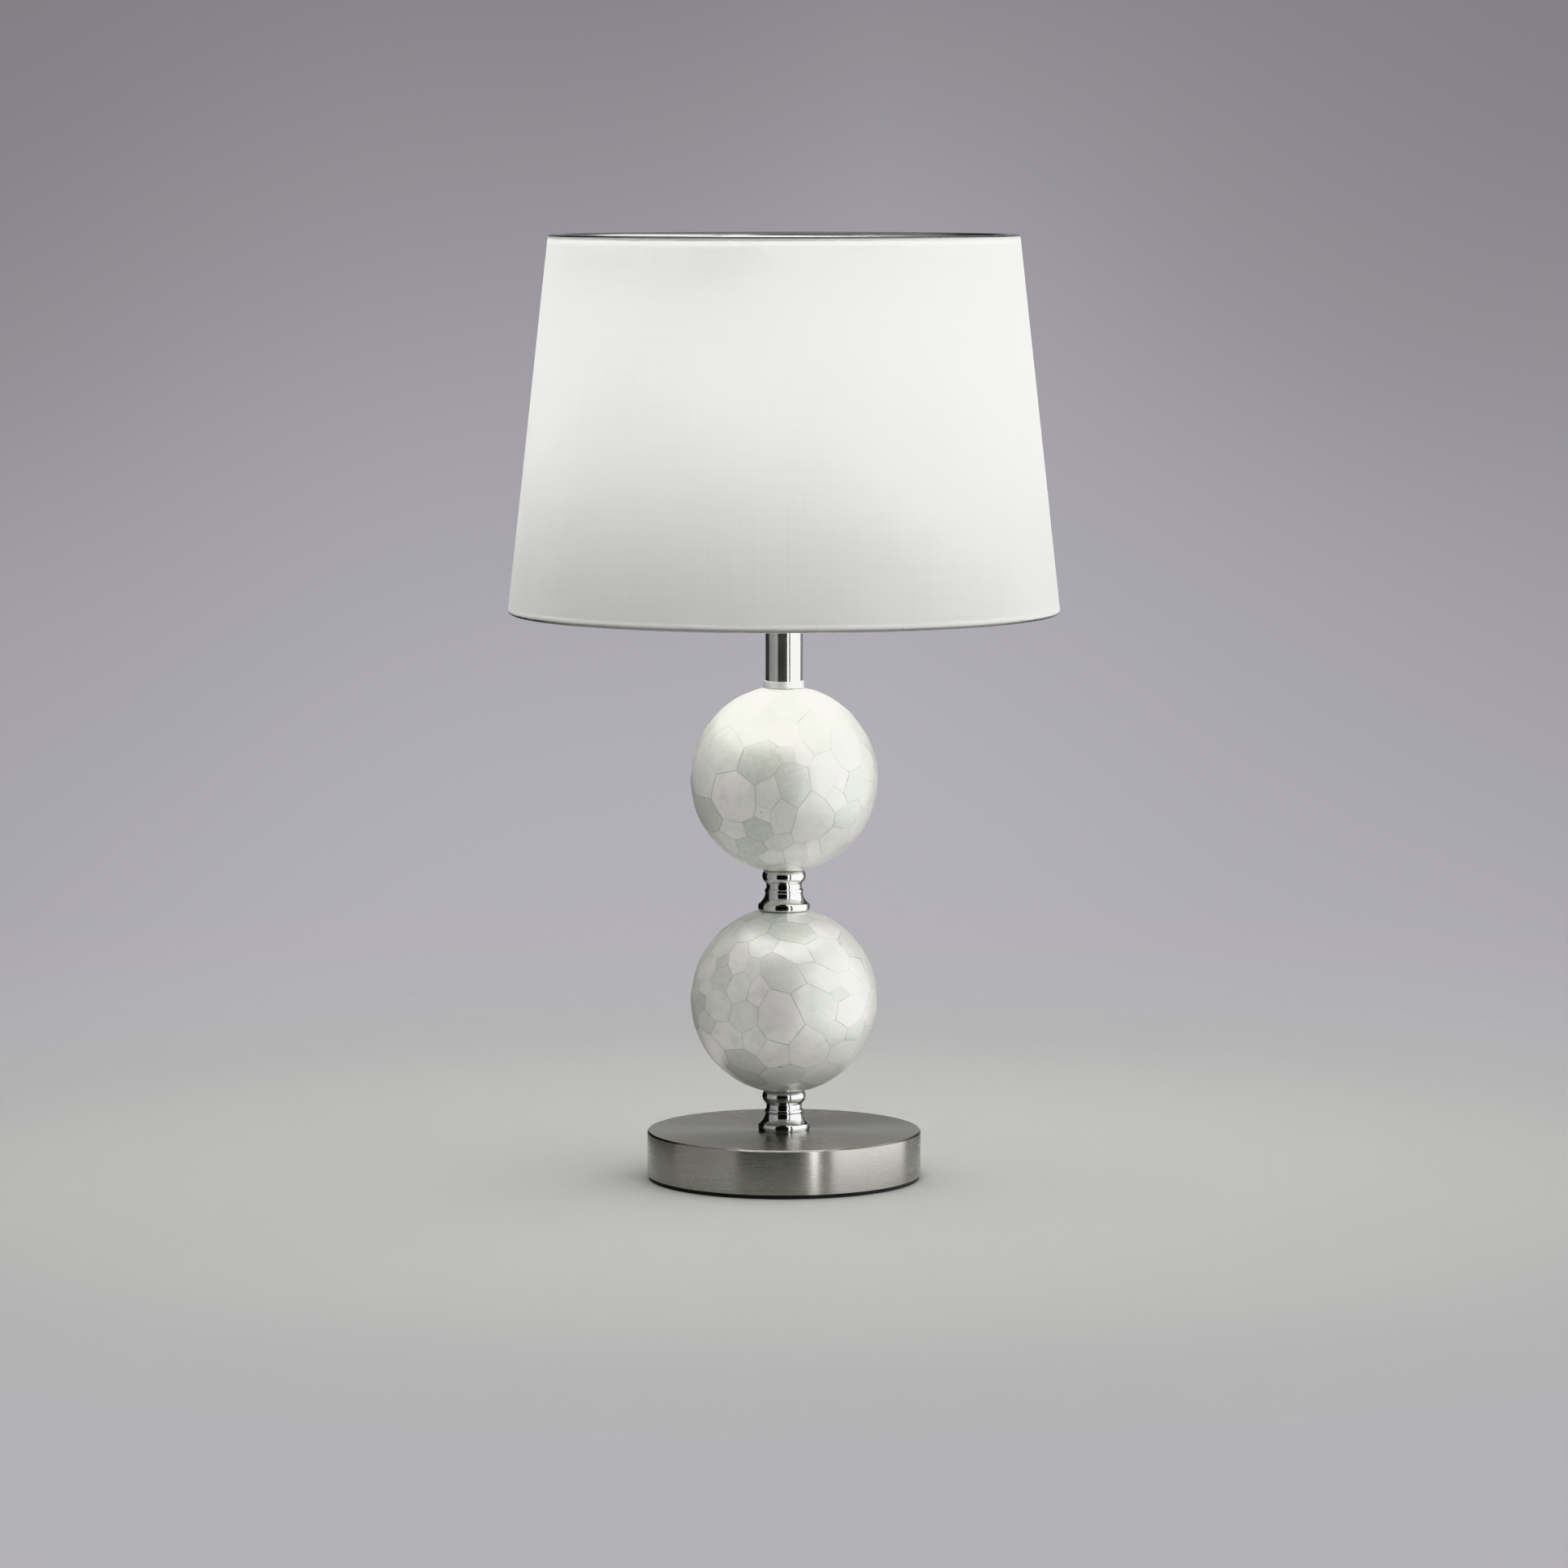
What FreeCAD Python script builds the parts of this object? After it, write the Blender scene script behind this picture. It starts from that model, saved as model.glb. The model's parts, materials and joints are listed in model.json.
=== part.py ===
import FreeCAD, Part
import math
import os
from types import SimpleNamespace

import Sketcher

# Column table lamp: two shell-covered balls stacked on a round weighted base, with turned collars
# between them, a short chrome neck, an E27 lampholder, its bulb and a tapered drum shade.
# Millimetres, +Z up. The origin is the centre of the foot, on the surface that the lamp stands on.

Vector = FreeCAD.Vector

DRIVING_SIZES = {
    # base, from the surface upwards
    "base_radius": 75.0,
    "base_height": 26.3,
    "base_wall": 1.2,
    "base_edge_bevel": 0.8,
    "pad_thickness": 2.0,
    "pad_inset": 0.8,
    "plate_thickness": 2.0,
    "plate_clearance": 0.3,
    "weight_thickness": 16.0,
    "weight_clearance": 1.3,
    "nut_recess_radius": 15.0,
    "nut_recess_depth": 9.0,
    "boss_radius": 5.0,
    "boss_circle_radius": 52.0,
    "plate_screw_count": 3,
    "plate_screw_radius": 1.5,
    "plate_screw_length": 9.0,
    "plate_screw_head_radius": 3.0,
    "plate_screw_head_height": 1.5,
    "screw_clearance": 0.1,
    # cord inlet at the back of the base
    "inlet_height": 12.3,
    "cord_bore_radius": 3.4,
    "grommet_neck_radius": 5.1,
    "grommet_flange_radius": 6.6,
    "grommet_outer_flange": 1.6,
    "grommet_inner_flange": 1.8,
    "grommet_clearance": 0.1,
    "cord_channel_width": 15.0,
    "cord_channel_depth": 10.0,
    # hollow threaded rod that holds the stack together, and its fastenings
    "rod_radius": 4.95,
    "rod_bore_radius": 3.5,
    "rod_tail": 1.2,
    "thread_clearance": 0.05,
    "rod_clearance": 0.35,
    "washer_radius": 12.0,
    "washer_thickness": 1.0,
    "spring_washer_radius": 8.2,
    "spring_washer_thickness": 1.6,
    "spring_washer_split": 1.5,
    "rod_nut_flats": 17.0,
    "rod_nut_thickness": 5.0,
    "bush_flange_radius": 6.2,
    "bush_flange_thickness": 1.2,
    "bush_spigot_length": 4.0,
    "bush_wall": 0.8,
    # turned collar under each ball
    "collar_height": 21.7,
    "collar_bell_radius": 14.2,
    "collar_bell_height": 3.6,
    "collar_bell_roundness": 0.4,
    "collar_foot_seat_radius": 12.2,
    "collar_foot_recess": 3.0,
    "collar_flare_hollow": 0.8,
    "collar_ring_radius": 10.2,
    "collar_ring_bottom": 9.3,
    "collar_ring_top": 11.5,
    "collar_ring_roundness": 0.35,
    "collar_waist_radius": 9.7,
    "collar_waist_bottom": 12.0,
    "collar_waist_top": 14.3,
    "collar_bead_bottom": 15.2,
    "collar_bead_root_radius": 10.3,
    "collar_bead_roundness": 1.4,
    "collar_rim_radius": 10.7,
    "collar_rim_seat_radius": 9.9,
    "collar_rim_recess": 2.0,
    # shell-covered balls
    "ball_radius": 51.1,
    "shell_thickness": 1.05,
    "glue_gap": 0.05,
    "core_wall": 4.0,
    "core_boss_radius": 12.0,
    "core_boss_depth": 12.0,
    "shell_pole_radius": 8.0,
    "chip_count": 96,
    "chip_flat_depth": 0.35,
    "chip_free_pole_radius": 19.0,
    # chrome neck
    "neck_radius": 10.1,
    "neck_wall": 1.0,
    "neck_length": 43.0,
    "neck_ring_radius": 11.2,
    "neck_ring_height": 3.6,
    "neck_ring_seat_radius": 9.6,
    "neck_ring_floor": 1.5,
    "neck_fit_clearance": 0.1,
    "neck_cap_thickness": 2.0,
    "neck_cap_spigot": 4.0,
    "lock_nut_flats": 14.0,
    "lock_nut_thickness": 3.0,
    # lampholder for an E27 bulb
    "holder_cap_height": 17.5,
    "holder_cap_radius": 21.0,
    "holder_cap_wall": 2.0,
    "holder_cap_foot_radius": 9.5,
    "holder_cap_dome_height": 10.0,
    "holder_cap_roundness": 2.0,
    "holder_boss_radius": 8.5,
    "holder_boss_height": 10.0,
    "cap_screw_radius": 1.5,
    "cap_screw_length": 3.4,
    "cap_screw_height": 6.0,
    "holder_body_height": 39.0,
    "holder_thread_radius": 19.8,
    "holder_shoulder_radius": 23.5,
    "holder_shoulder_height": 4.5,
    "holder_mouth_radius": 13.4,
    "holder_cavity_height": 11.0,
    "holder_cavity_radius": 17.5,
    "contact_block_clearance": 0.3,
    "contact_block_height": 10.4,
    "contact_slot_width": 6.0,
    "contact_slot_depth": 1.7,
    "contact_leaf_thickness": 0.5,
    "contact_leaf_width": 5.0,
    "contact_leaf_height": 14.0,
    "centre_contact_span": 10.0,
    "centre_contact_rise": 2.0,
    "terminal_spacing": 22.0,
    "terminal_screw_radius": 1.5,
    "terminal_screw_length": 6.0,
    "terminal_head_radius": 2.75,
    "terminal_head_height": 1.8,
    # shade and the ring that clamps it
    "carrier_thickness": 1.5,
    "carrier_radius": 27.0,
    "carrier_clearance": 0.8,
    "clamp_ring_radius": 27.0,
    "clamp_ring_height": 8.0,
    "clamp_ring_clearance": 0.3,
    "clamp_ring_flutes": 24,
    "clamp_ring_flute_radius": 1.2,
    "shade_height": 205.0,
    "shade_bottom_radius": 150.0,
    "shade_top_radius": 127.9,
    "shade_drop": 30.8,
    "fabric_thickness": 0.5,
    "lining_thickness": 0.5,
    "lining_end_gap": 2.2,
    "ring_wire_radius": 1.25,
    "ring_wrap_clearance": 0.45,
    "arm_wire_radius": 1.25,
    "arm_start_radius": 24.6,
    "arm_level_length": 9.0,
    "arm_bend_radius": 8.0,
    "arm_weld_gap": 0.05,
    # E27 bulb
    "bulb_contact_gap": 0.3,
    "bulb_contact_radius": 4.8,
    "bulb_contact_height": 1.0,
    "bulb_insulator_height": 4.5,
    "bulb_insulator_radius": 11.6,
    "bulb_cap_radius": 13.1,
    "bulb_cap_wall": 0.3,
    "bulb_cap_height": 27.0,
    "bulb_housing_height": 55.0,
    "bulb_housing_radius": 28.5,
    "bulb_housing_wall": 1.6,
    "bulb_housing_roundness": 2.5,
    "bulb_height": 108.0,
    "bulb_globe_radius": 30.0,
    "bulb_globe_centre": 78.0,
    "bulb_globe_wall": 1.2,
    "bulb_fit_clearance": 0.05,
    "board_thickness": 1.6,
    "board_inset": 1.5,
    "driver_width": 20.0,
    "driver_height": 34.0,
}

REAR_ARM_ANGLE = 90.0
ARM_COUNT = 3
GOLDEN_TURN = math.pi * (3.0 - math.sqrt(5.0))

os.makedirs("parts", exist_ok=True)
doc = FreeCAD.newDocument("column_table_lamp")


# ---------------------------------------------------------------- sizes

class Size:
    """A length in millimetres together with the sheet expression that drives it."""

    def __init__(self, value, text):
        self.value = float(value)
        self.text = text

    def __add__(self, other):
        return join(self, other, "+", self.value + value_of(other))

    def __radd__(self, other):
        return join(other, self, "+", value_of(other) + self.value)

    def __sub__(self, other):
        return join(self, other, "-", self.value - value_of(other))

    def __rsub__(self, other):
        return join(other, self, "-", value_of(other) - self.value)

    def __mul__(self, other):
        return join(self, other, "*", self.value * value_of(other))

    def __rmul__(self, other):
        return join(other, self, "*", value_of(other) * self.value)

    def __truediv__(self, other):
        return join(self, other, "/", self.value / value_of(other))

    def __neg__(self):
        return Size(0, "0") - self


def value_of(item):
    return item.value if isinstance(item, Size) else float(item)


def text_of(item):
    return item.text if isinstance(item, Size) else repr(float(item))


def join(left, right, sign, value):
    return Size(value, f"({text_of(left)} {sign} {text_of(right)})")


def root(square):
    return Size(math.sqrt(square.value), f"sqrt({square.text})")


def side(hypotenuse, other_side):
    """The other short side of a right-angled triangle: a sphere's height over a circle on it."""
    return root(hypotenuse * hypotenuse - other_side * other_side)


def fill_sheet():
    """Writes the driving sizes to the sheet and gives them back by name."""
    sheet = doc.addObject("Spreadsheet::Sheet", "Sizes")
    for row, (alias, number) in enumerate(DRIVING_SIZES.items(), start=1):
        sheet.set(f"A{row}", alias.replace("_", " "))
        sheet.set(f"B{row}", str(number))
        sheet.setAlias(f"B{row}", alias)
    doc.recompute()
    return SimpleNamespace(
        **{alias: Size(sheet.get(alias), f"Sizes.{alias}") for alias in DRIVING_SIZES}
    )


s = fill_sheet()


# ---------------------------------------------------------------- sketches and features

class Bow:
    """Makes the next edge of an outline an arc, bowed out to the right or left of its travel."""

    def __init__(self, depth, to_right):
        self.depth = depth
        self.to_right = to_right

    def centre(self, start, end):
        """The arc's centre: half the chord plus the depth of the bow settle the radius."""
        across, up = end[0] - start[0], end[1] - start[1]
        chord = root(across * across + up * up)
        radius = (chord * chord / 4.0 + self.depth * self.depth) / (self.depth * 2.0)
        inward = (radius - self.depth) / chord * (1.0 if self.to_right else -1.0)
        return (start[0] + across / 2.0 - up * inward, start[1] + up / 2.0 + across * inward)


def swell(depth):
    return Bow(depth, True)


def hollow(depth):
    return Bow(depth, False)


def new_body(label):
    body = doc.addObject("PartDesign::Body", label)
    body.Label = label
    return body


def origin_part(body, role):
    return next(item for item in body.Origin.OriginFeatures if item.Role == role)


def sketch_on(body, name, role):
    sketch = body.newObject("Sketcher::SketchObject", name)
    sketch.AttachmentSupport = [(origin_part(body, role), "")]
    sketch.MapMode = "FlatFace"
    return sketch


def drive(sketch, kind, geometry, point, amount):
    """Fixes one coordinate of a point of the sketch, measured from the sketch's origin."""
    index = sketch.addConstraint(
        Sketcher.Constraint(kind, -1, 1, geometry, point, value_of(amount))
    )
    sketch.setExpression(f"Constraints[{index}]", text_of(amount))


def flat_point(pair):
    return Vector(value_of(pair[0]), value_of(pair[1]), 0)


def arc_between(start, end, bow):
    """An arc from start to end about the bow's centre, and the coordinates of that centre."""
    centre = bow.centre(start, end)
    middle = flat_point(centre)
    circle = Part.Circle(middle, Vector(0, 0, 1), (flat_point(start) - middle).Length)
    first, last = (start, end) if bow.to_right else (end, start)
    begin = circle.parameter(flat_point(first))
    finish = circle.parameter(flat_point(last))
    return Part.ArcOfCircle(circle, begin, finish), centre


def as_size(item):
    return item if isinstance(item, Size) else Size(item, repr(float(item)))


def outline(sketch, steps):
    """Draws a closed outline, anticlockwise: corners, with a Bow before a corner for an arc."""
    corners, bows, bow = [], [], None
    for step in steps:
        if isinstance(step, Bow):
            bow = step
        else:
            corners.append((as_size(step[0]), as_size(step[1])))
            bows.append(bow)
            bow = None
    bows = bows[1:] + [bow]
    first = sketch.GeometryCount
    starts = []
    for index, bow in enumerate(bows):
        begin, finish = corners[index], corners[(index + 1) % len(corners)]
        if bow is None:
            edge = sketch.addGeometry(Part.LineSegment(flat_point(begin), flat_point(finish)), False)
            starts.append((edge, 1, 2))
            continue
        arc, centre = arc_between(begin, finish, bow)
        edge = sketch.addGeometry(arc, False)
        starts.append((edge, 1, 2) if bow.to_right else (edge, 2, 1))
        rise, run = finish[1] - begin[1], finish[0] - begin[0]
        if abs(rise.value) > abs(run.value):
            drive(sketch, "DistanceX", edge, 3, centre[0])
        else:
            drive(sketch, "DistanceY", edge, 3, centre[1])
    for index, (edge, start, end) in enumerate(starts):
        following = starts[(index + 1) % len(starts)]
        joint = Sketcher.Constraint("Coincident", edge, end, following[0], following[1])
        sketch.addConstraint(joint)
        drive(sketch, "DistanceX", first + index, start, corners[index][0])
        drive(sketch, "DistanceY", first + index, start, corners[index][1])


def circle(sketch, radius, across=0.0, up=0.0):
    middle = flat_point((across, up))
    index = sketch.addGeometry(Part.Circle(middle, Vector(0, 0, 1), radius.value), False)
    size = sketch.addConstraint(Sketcher.Constraint("Radius", index, radius.value))
    sketch.setExpression(f"Constraints[{size}]", radius.text)
    drive(sketch, "DistanceX", index, 3, across)
    drive(sketch, "DistanceY", index, 3, up)


def rectangle(sketch, left, right, low, high):
    outline(sketch, [(left, low), (right, low), (right, high), (left, high)])


def hexagon(sketch, across_flats):
    """A regular hexagon with two corners on the sketch's X axis."""
    reach = across_flats / math.sqrt(3.0)
    half = across_flats / 2.0
    corners = [(reach, 0.0), (reach / 2.0, half), (-(reach / 2.0), half)]
    corners += [(-reach, 0.0), (-(reach / 2.0), -half), (reach / 2.0, -half)]
    outline(sketch, corners)


def add_feature(body, kind, name, **settings):
    feature = body.newObject(f"PartDesign::{kind}", name)
    for setting, value in settings.items():
        setattr(feature, setting, value)
    body.Tip = feature
    return feature


def pad(body, name, sketch, length):
    feature = add_feature(body, "Pad", name, Profile=sketch)
    feature.setExpression("Length", length.text)
    doc.recompute()
    return feature


def pocket(body, name, sketch, length, reversed_cut=False):
    """Cuts a sketch away from the body, and makes sure that it took something off."""
    before = body.Shape.Volume
    feature = add_feature(body, "Pocket", name, Profile=sketch, Reversed=reversed_cut)
    feature.setExpression("Length", length.text)
    doc.recompute()
    if body.Shape.Volume >= before:
        raise RuntimeError(f"{name} cuts nothing")
    return feature


def around(body, name, features, count):
    """Repeats features about the lamp's axis."""
    axis = (origin_part(body, "Z_Axis"), [""])
    feature = add_feature(body, "PolarPattern", name, Originals=features, Axis=axis, Angle=360)
    feature.setExpression("Occurrences", count.text)
    doc.recompute()
    return feature


def turned(label, steps, height):
    """A piece turned about the lamp's axis from an outline of (radius, height) corners."""
    body = new_body(label)
    profile = sketch_on(body, f"{label}_profile", "XZ_Plane")
    outline(profile, steps)
    add_feature(body, "Revolution", f"{label}_turning", Profile=profile,
                ReferenceAxis=(profile, ["V_Axis"]), Angle=360)
    lift(body, height)
    doc.recompute()
    return body


def lift(item, height):
    item.setExpression("Placement.Base.z", text_of(height))


def frozen(label, shape):
    """A sub-part whose shape is worked out here rather than by features."""
    item = doc.addObject("Part::Feature", label)
    item.Label = label
    item.Shape = shape
    return item


# ---------------------------------------------------------------- levels of the stack

shell_underside = s.base_height - s.base_wall
weight_bottom = shell_underside - s.weight_thickness
plate_top = s.pad_thickness + s.plate_thickness
washer_bottom = weight_bottom + s.nut_recess_depth - s.washer_thickness
spring_washer_bottom = washer_bottom - s.spring_washer_thickness
rod_nut_bottom = spring_washer_bottom - s.rod_nut_thickness
rod_bottom = rod_nut_bottom - s.rod_tail

collar_top = s.base_height + s.collar_height
lower_ball_centre = collar_top + side(s.ball_radius, s.collar_rim_seat_radius)
middle_collar_bottom = lower_ball_centre + side(s.ball_radius, s.collar_foot_seat_radius)
middle_collar_top = middle_collar_bottom + s.collar_height
upper_ball_centre = middle_collar_top + side(s.ball_radius, s.collar_rim_seat_radius)

neck_ring_bottom = upper_ball_centre + side(s.ball_radius, s.neck_ring_seat_radius)
neck_bottom = neck_ring_bottom + s.neck_ring_floor
neck_top = neck_bottom + s.neck_length
lock_nut_bottom = neck_top + s.neck_cap_thickness
holder_cap_bottom = lock_nut_bottom + s.lock_nut_thickness
rod_length = holder_cap_bottom + s.holder_boss_height - rod_bottom

holder_body_bottom = holder_cap_bottom + s.holder_cap_height
carrier_bottom = holder_body_bottom + s.holder_shoulder_height
clamp_ring_bottom = carrier_bottom + s.carrier_thickness
shade_bottom = carrier_bottom - s.shade_drop
contact_block_top = holder_body_bottom + s.contact_block_height
centre_contact_top = contact_block_top + s.centre_contact_rise + s.contact_leaf_thickness
bulb_bottom = centre_contact_top + s.bulb_contact_gap

rod_hole_radius = s.rod_radius + s.rod_clearance
thread_hole_radius = s.rod_radius + s.thread_clearance
inner_wall_radius = s.base_radius - s.base_wall


# ---------------------------------------------------------------- base

def make_base_pad():
    """Soft pad under the whole base, a little inside its edge."""
    body = new_body("base_pad")
    disc = sketch_on(body, "pad_disc", "XY_Plane")
    circle(disc, s.base_radius - s.pad_inset)
    pad(body, "pad_sheet", disc, s.pad_thickness)


def make_bottom_plate():
    """Steel cover over the cavity of the base, with countersunk holes for its screws."""
    body = new_body("bottom_plate")
    disc = sketch_on(body, "plate_disc", "XY_Plane")
    circle(disc, inner_wall_radius - s.plate_clearance)
    pad(body, "plate_sheet", disc, s.plate_thickness)
    screw_hole = sketch_on(body, "plate_screw_hole_profile", "XZ_Plane")
    shank = s.plate_screw_radius + s.screw_clearance
    head = s.plate_screw_head_radius + s.screw_clearance
    place = s.boss_circle_radius
    outline(screw_hole, [
        (place, 0.0),
        (place + head, 0.0),
        (place + shank, s.plate_screw_head_height),
        (place + shank, s.plate_thickness),
        (place, s.plate_thickness),
    ])
    hole_axis = Part.LineSegment(flat_point((place, 0.0)), flat_point((place, s.plate_thickness)))
    axis_line = screw_hole.addGeometry(hole_axis, True)
    screw_hole.addConstraint(Sketcher.Constraint("Vertical", axis_line))
    drive(screw_hole, "DistanceX", axis_line, 1, place)
    drive(screw_hole, "DistanceY", axis_line, 1, 0.0)
    drive(screw_hole, "DistanceY", axis_line, 2, s.plate_thickness)
    before = body.Shape.Volume
    hole = add_feature(body, "Groove", "plate_screw_hole", Profile=screw_hole,
                       ReferenceAxis=(screw_hole, ["Axis0"]), Angle=360)
    doc.recompute()
    if body.Shape.Volume >= before:
        raise RuntimeError("the plate's screw hole cuts nothing")
    around(body, "plate_screw_holes", [hole], s.plate_screw_count)
    turn_off_channel(body)
    lift(body, s.pad_thickness)


def turn_off_channel(item):
    """Turns the screw circle so that no screw lies under the cord channel at the back."""
    item.Placement = FreeCAD.Placement(Vector(), FreeCAD.Rotation(Vector(0, 0, 1), -REAR_ARM_ANGLE))


def make_base_shell():
    """Spun steel cover: the flat top and the side of the base, open below."""
    rim = s.pad_thickness
    body = turned("base_shell", [
        (rod_hole_radius, shell_underside),
        (inner_wall_radius, shell_underside),
        (inner_wall_radius, rim),
        (s.base_radius, rim),
        (s.base_radius, s.base_height - s.base_edge_bevel),
        (s.base_radius - s.base_edge_bevel, s.base_height),
        (rod_hole_radius, s.base_height),
    ], 0.0)
    inlet = sketch_on(body, "inlet_hole_circle", "XZ_Plane")
    circle(inlet, s.grommet_neck_radius + s.grommet_clearance, 0.0, s.inlet_height)
    pocket(body, "inlet_hole", inlet, s.base_radius + s.base_wall)


def make_base_weight():
    """Cast iron disc with a recess for the rod's nut, a cord channel and bosses for the plate."""
    disc_radius = inner_wall_radius - s.weight_clearance
    body = turned("base_weight", [
        (rod_hole_radius, s.nut_recess_depth),
        (s.nut_recess_radius, s.nut_recess_depth),
        (s.nut_recess_radius, 0.0),
        (disc_radius, 0.0),
        (disc_radius, s.weight_thickness),
        (rod_hole_radius, s.weight_thickness),
    ], weight_bottom)
    boss_height = weight_bottom - plate_top
    boss_circle = sketch_on(body, "boss_circle", "XY_Plane")
    circle(boss_circle, s.boss_radius, 0.0, -s.boss_circle_radius)
    boss = add_feature(body, "Pad", "boss", Profile=boss_circle, Reversed=True)
    boss.setExpression("Length", boss_height.text)
    doc.recompute()
    tapped_circle = sketch_on(body, "tapped_circle", "XY_Plane")
    circle(tapped_circle, s.plate_screw_radius + s.screw_clearance, 0.0, -s.boss_circle_radius)
    before = body.Shape.Volume
    tapped = add_feature(body, "Pocket", "tapped_hole", Profile=tapped_circle, Midplane=True)
    tapped.setExpression("Length", (s.plate_screw_length * 2.0).text)
    doc.recompute()
    if body.Shape.Volume >= before:
        raise RuntimeError("the boss's tapped hole cuts nothing")
    around(body, "bosses", [boss, tapped], s.plate_screw_count)
    channel = sketch_on(body, "cord_channel_section", "XZ_Plane")
    half_width = s.cord_channel_width / 2.0
    rectangle(channel, -half_width, half_width, -s.cord_channel_depth, s.cord_channel_depth)
    pocket(body, "cord_channel", channel, s.base_radius)


def make_plate_screws():
    """Countersunk screws that hold the bottom plate, as one group of separate solids."""
    shank_top = s.plate_screw_length.value
    head_height = s.plate_screw_head_height.value
    radius = s.plate_screw_radius.value
    head = Part.makeCone(s.plate_screw_head_radius.value, radius, head_height)
    shank = Part.makeCylinder(radius, shank_top - head_height, Vector(0, 0, head_height))
    slot = Part.makeBox(head_height * 2, radius / 2, head_height / 2)
    slot.translate(Vector(-head_height, -radius / 4, 0))
    screw = head.fuse(shank).removeSplitter().cut(slot)
    screw.translate(Vector(s.boss_circle_radius.value, 0, 0))
    count = int(s.plate_screw_count.value)
    group = []
    for index in range(count):
        copy = screw.copy()
        copy.rotate(Vector(), Vector(0, 0, 1), 360.0 * index / count)
        group.append(copy)
    screws = frozen("bottom_plate_screws", Part.makeCompound(group))
    turn_off_channel(screws)
    lift(screws, s.pad_thickness)


def make_cord_grommet():
    """Rubber grommet in the rear wall. Its bore lies along Y, and the cord leaves towards +Y."""
    outer_face = s.base_radius
    inner_face = side(inner_wall_radius, s.grommet_flange_radius)
    body = turned("cord_grommet", [
        (s.cord_bore_radius, inner_face - s.grommet_inner_flange),
        (s.grommet_flange_radius, inner_face - s.grommet_inner_flange),
        (s.grommet_flange_radius, inner_face),
        (s.grommet_neck_radius, inner_face),
        (s.grommet_neck_radius, outer_face),
        (s.grommet_flange_radius, outer_face),
        swell(s.grommet_outer_flange / 4.0),
        (s.grommet_neck_radius, outer_face + s.grommet_outer_flange),
        (s.cord_bore_radius, outer_face + s.grommet_outer_flange),
    ], 0.0)
    body.Placement = FreeCAD.Placement(Vector(), FreeCAD.Rotation(Vector(1, 0, 0), -90))
    lift(body, s.inlet_height)


# ---------------------------------------------------------------- rod and fastenings

def make_threaded_rod():
    """Hollow M10 rod from under the weight into the lampholder. The wires run inside it."""
    chamfer = s.rod_radius - s.rod_bore_radius
    edge = chamfer / 3.0
    turned("threaded_rod", [
        (s.rod_bore_radius, 0.0),
        (s.rod_radius - edge, 0.0),
        (s.rod_radius, edge),
        (s.rod_radius, rod_length - edge),
        (s.rod_radius - edge, rod_length),
        (s.rod_bore_radius, rod_length),
    ], rod_bottom)


def make_rod_washer():
    """Flat washer between the weight and the spring washer."""
    turned("rod_washer", [
        (rod_hole_radius, 0.0),
        (s.washer_radius, 0.0),
        (s.washer_radius, s.washer_thickness),
        (rod_hole_radius, s.washer_thickness),
    ], washer_bottom)


def make_spring_washer():
    """Split washer that keeps the stack tight."""
    body = turned("spring_washer", [
        (rod_hole_radius, 0.0),
        (s.spring_washer_radius, 0.0),
        (s.spring_washer_radius, s.spring_washer_thickness),
        (rod_hole_radius, s.spring_washer_thickness),
    ], spring_washer_bottom)
    split = sketch_on(body, "washer_split_section", "XZ_Plane")
    half_width = s.spring_washer_split / 2.0
    rectangle(split, -half_width, half_width, -s.spring_washer_thickness,
              s.spring_washer_thickness * 2.0)
    pocket(body, "washer_split", split, s.spring_washer_radius * 2.0)


def make_nut(label, across_flats, thickness, height):
    """Hexagon nut on the rod's thread."""
    body = new_body(label)
    section = sketch_on(body, f"{label}_section", "XY_Plane")
    hexagon(section, across_flats)
    circle(section, thread_hole_radius)
    pad(body, f"{label}_blank", section, thickness)
    lift(body, height)


def make_rod_bush():
    """Plastic bush in the rod's lower end, so that its edge doesn't cut the wires."""
    spigot = s.rod_bore_radius - s.thread_clearance
    bore = spigot - s.bush_wall
    turned("rod_end_bush", [
        (bore, 0.0),
        (s.bush_flange_radius, 0.0),
        (s.bush_flange_radius, s.bush_flange_thickness),
        (spigot, s.bush_flange_thickness),
        (spigot, s.bush_flange_thickness + s.bush_spigot_length),
        (bore, s.bush_flange_thickness + s.bush_spigot_length),
    ], rod_bottom - s.bush_flange_thickness)


# ---------------------------------------------------------------- collars and balls

def make_collar(label, height):
    """Turned collar: a bell foot, a hollow flare, a fine ring, a waist and a round bead on top."""
    bell_edge = s.collar_bell_radius - s.collar_bell_roundness
    turned(label, [
        (s.collar_foot_seat_radius, 0.0),
        (bell_edge, 0.0),
        swell(s.collar_bell_roundness),
        (bell_edge, s.collar_bell_height),
        hollow(s.collar_flare_hollow),
        (s.collar_ring_radius, s.collar_ring_bottom),
        swell(s.collar_ring_roundness),
        (s.collar_ring_radius, s.collar_ring_top),
        (s.collar_waist_radius, s.collar_waist_bottom),
        (s.collar_waist_radius, s.collar_waist_top),
        (s.collar_bead_root_radius, s.collar_bead_bottom),
        swell(s.collar_bead_roundness),
        (s.collar_rim_radius, s.collar_height),
        (s.collar_rim_seat_radius, s.collar_height),
        (s.collar_rim_seat_radius, s.collar_height - s.collar_rim_recess),
        (rod_hole_radius, s.collar_height - s.collar_rim_recess),
        (rod_hole_radius, s.collar_foot_recess),
        (s.collar_foot_seat_radius, s.collar_foot_recess),
    ], height)


core_radius = s.ball_radius - s.shell_thickness - s.glue_gap


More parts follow.
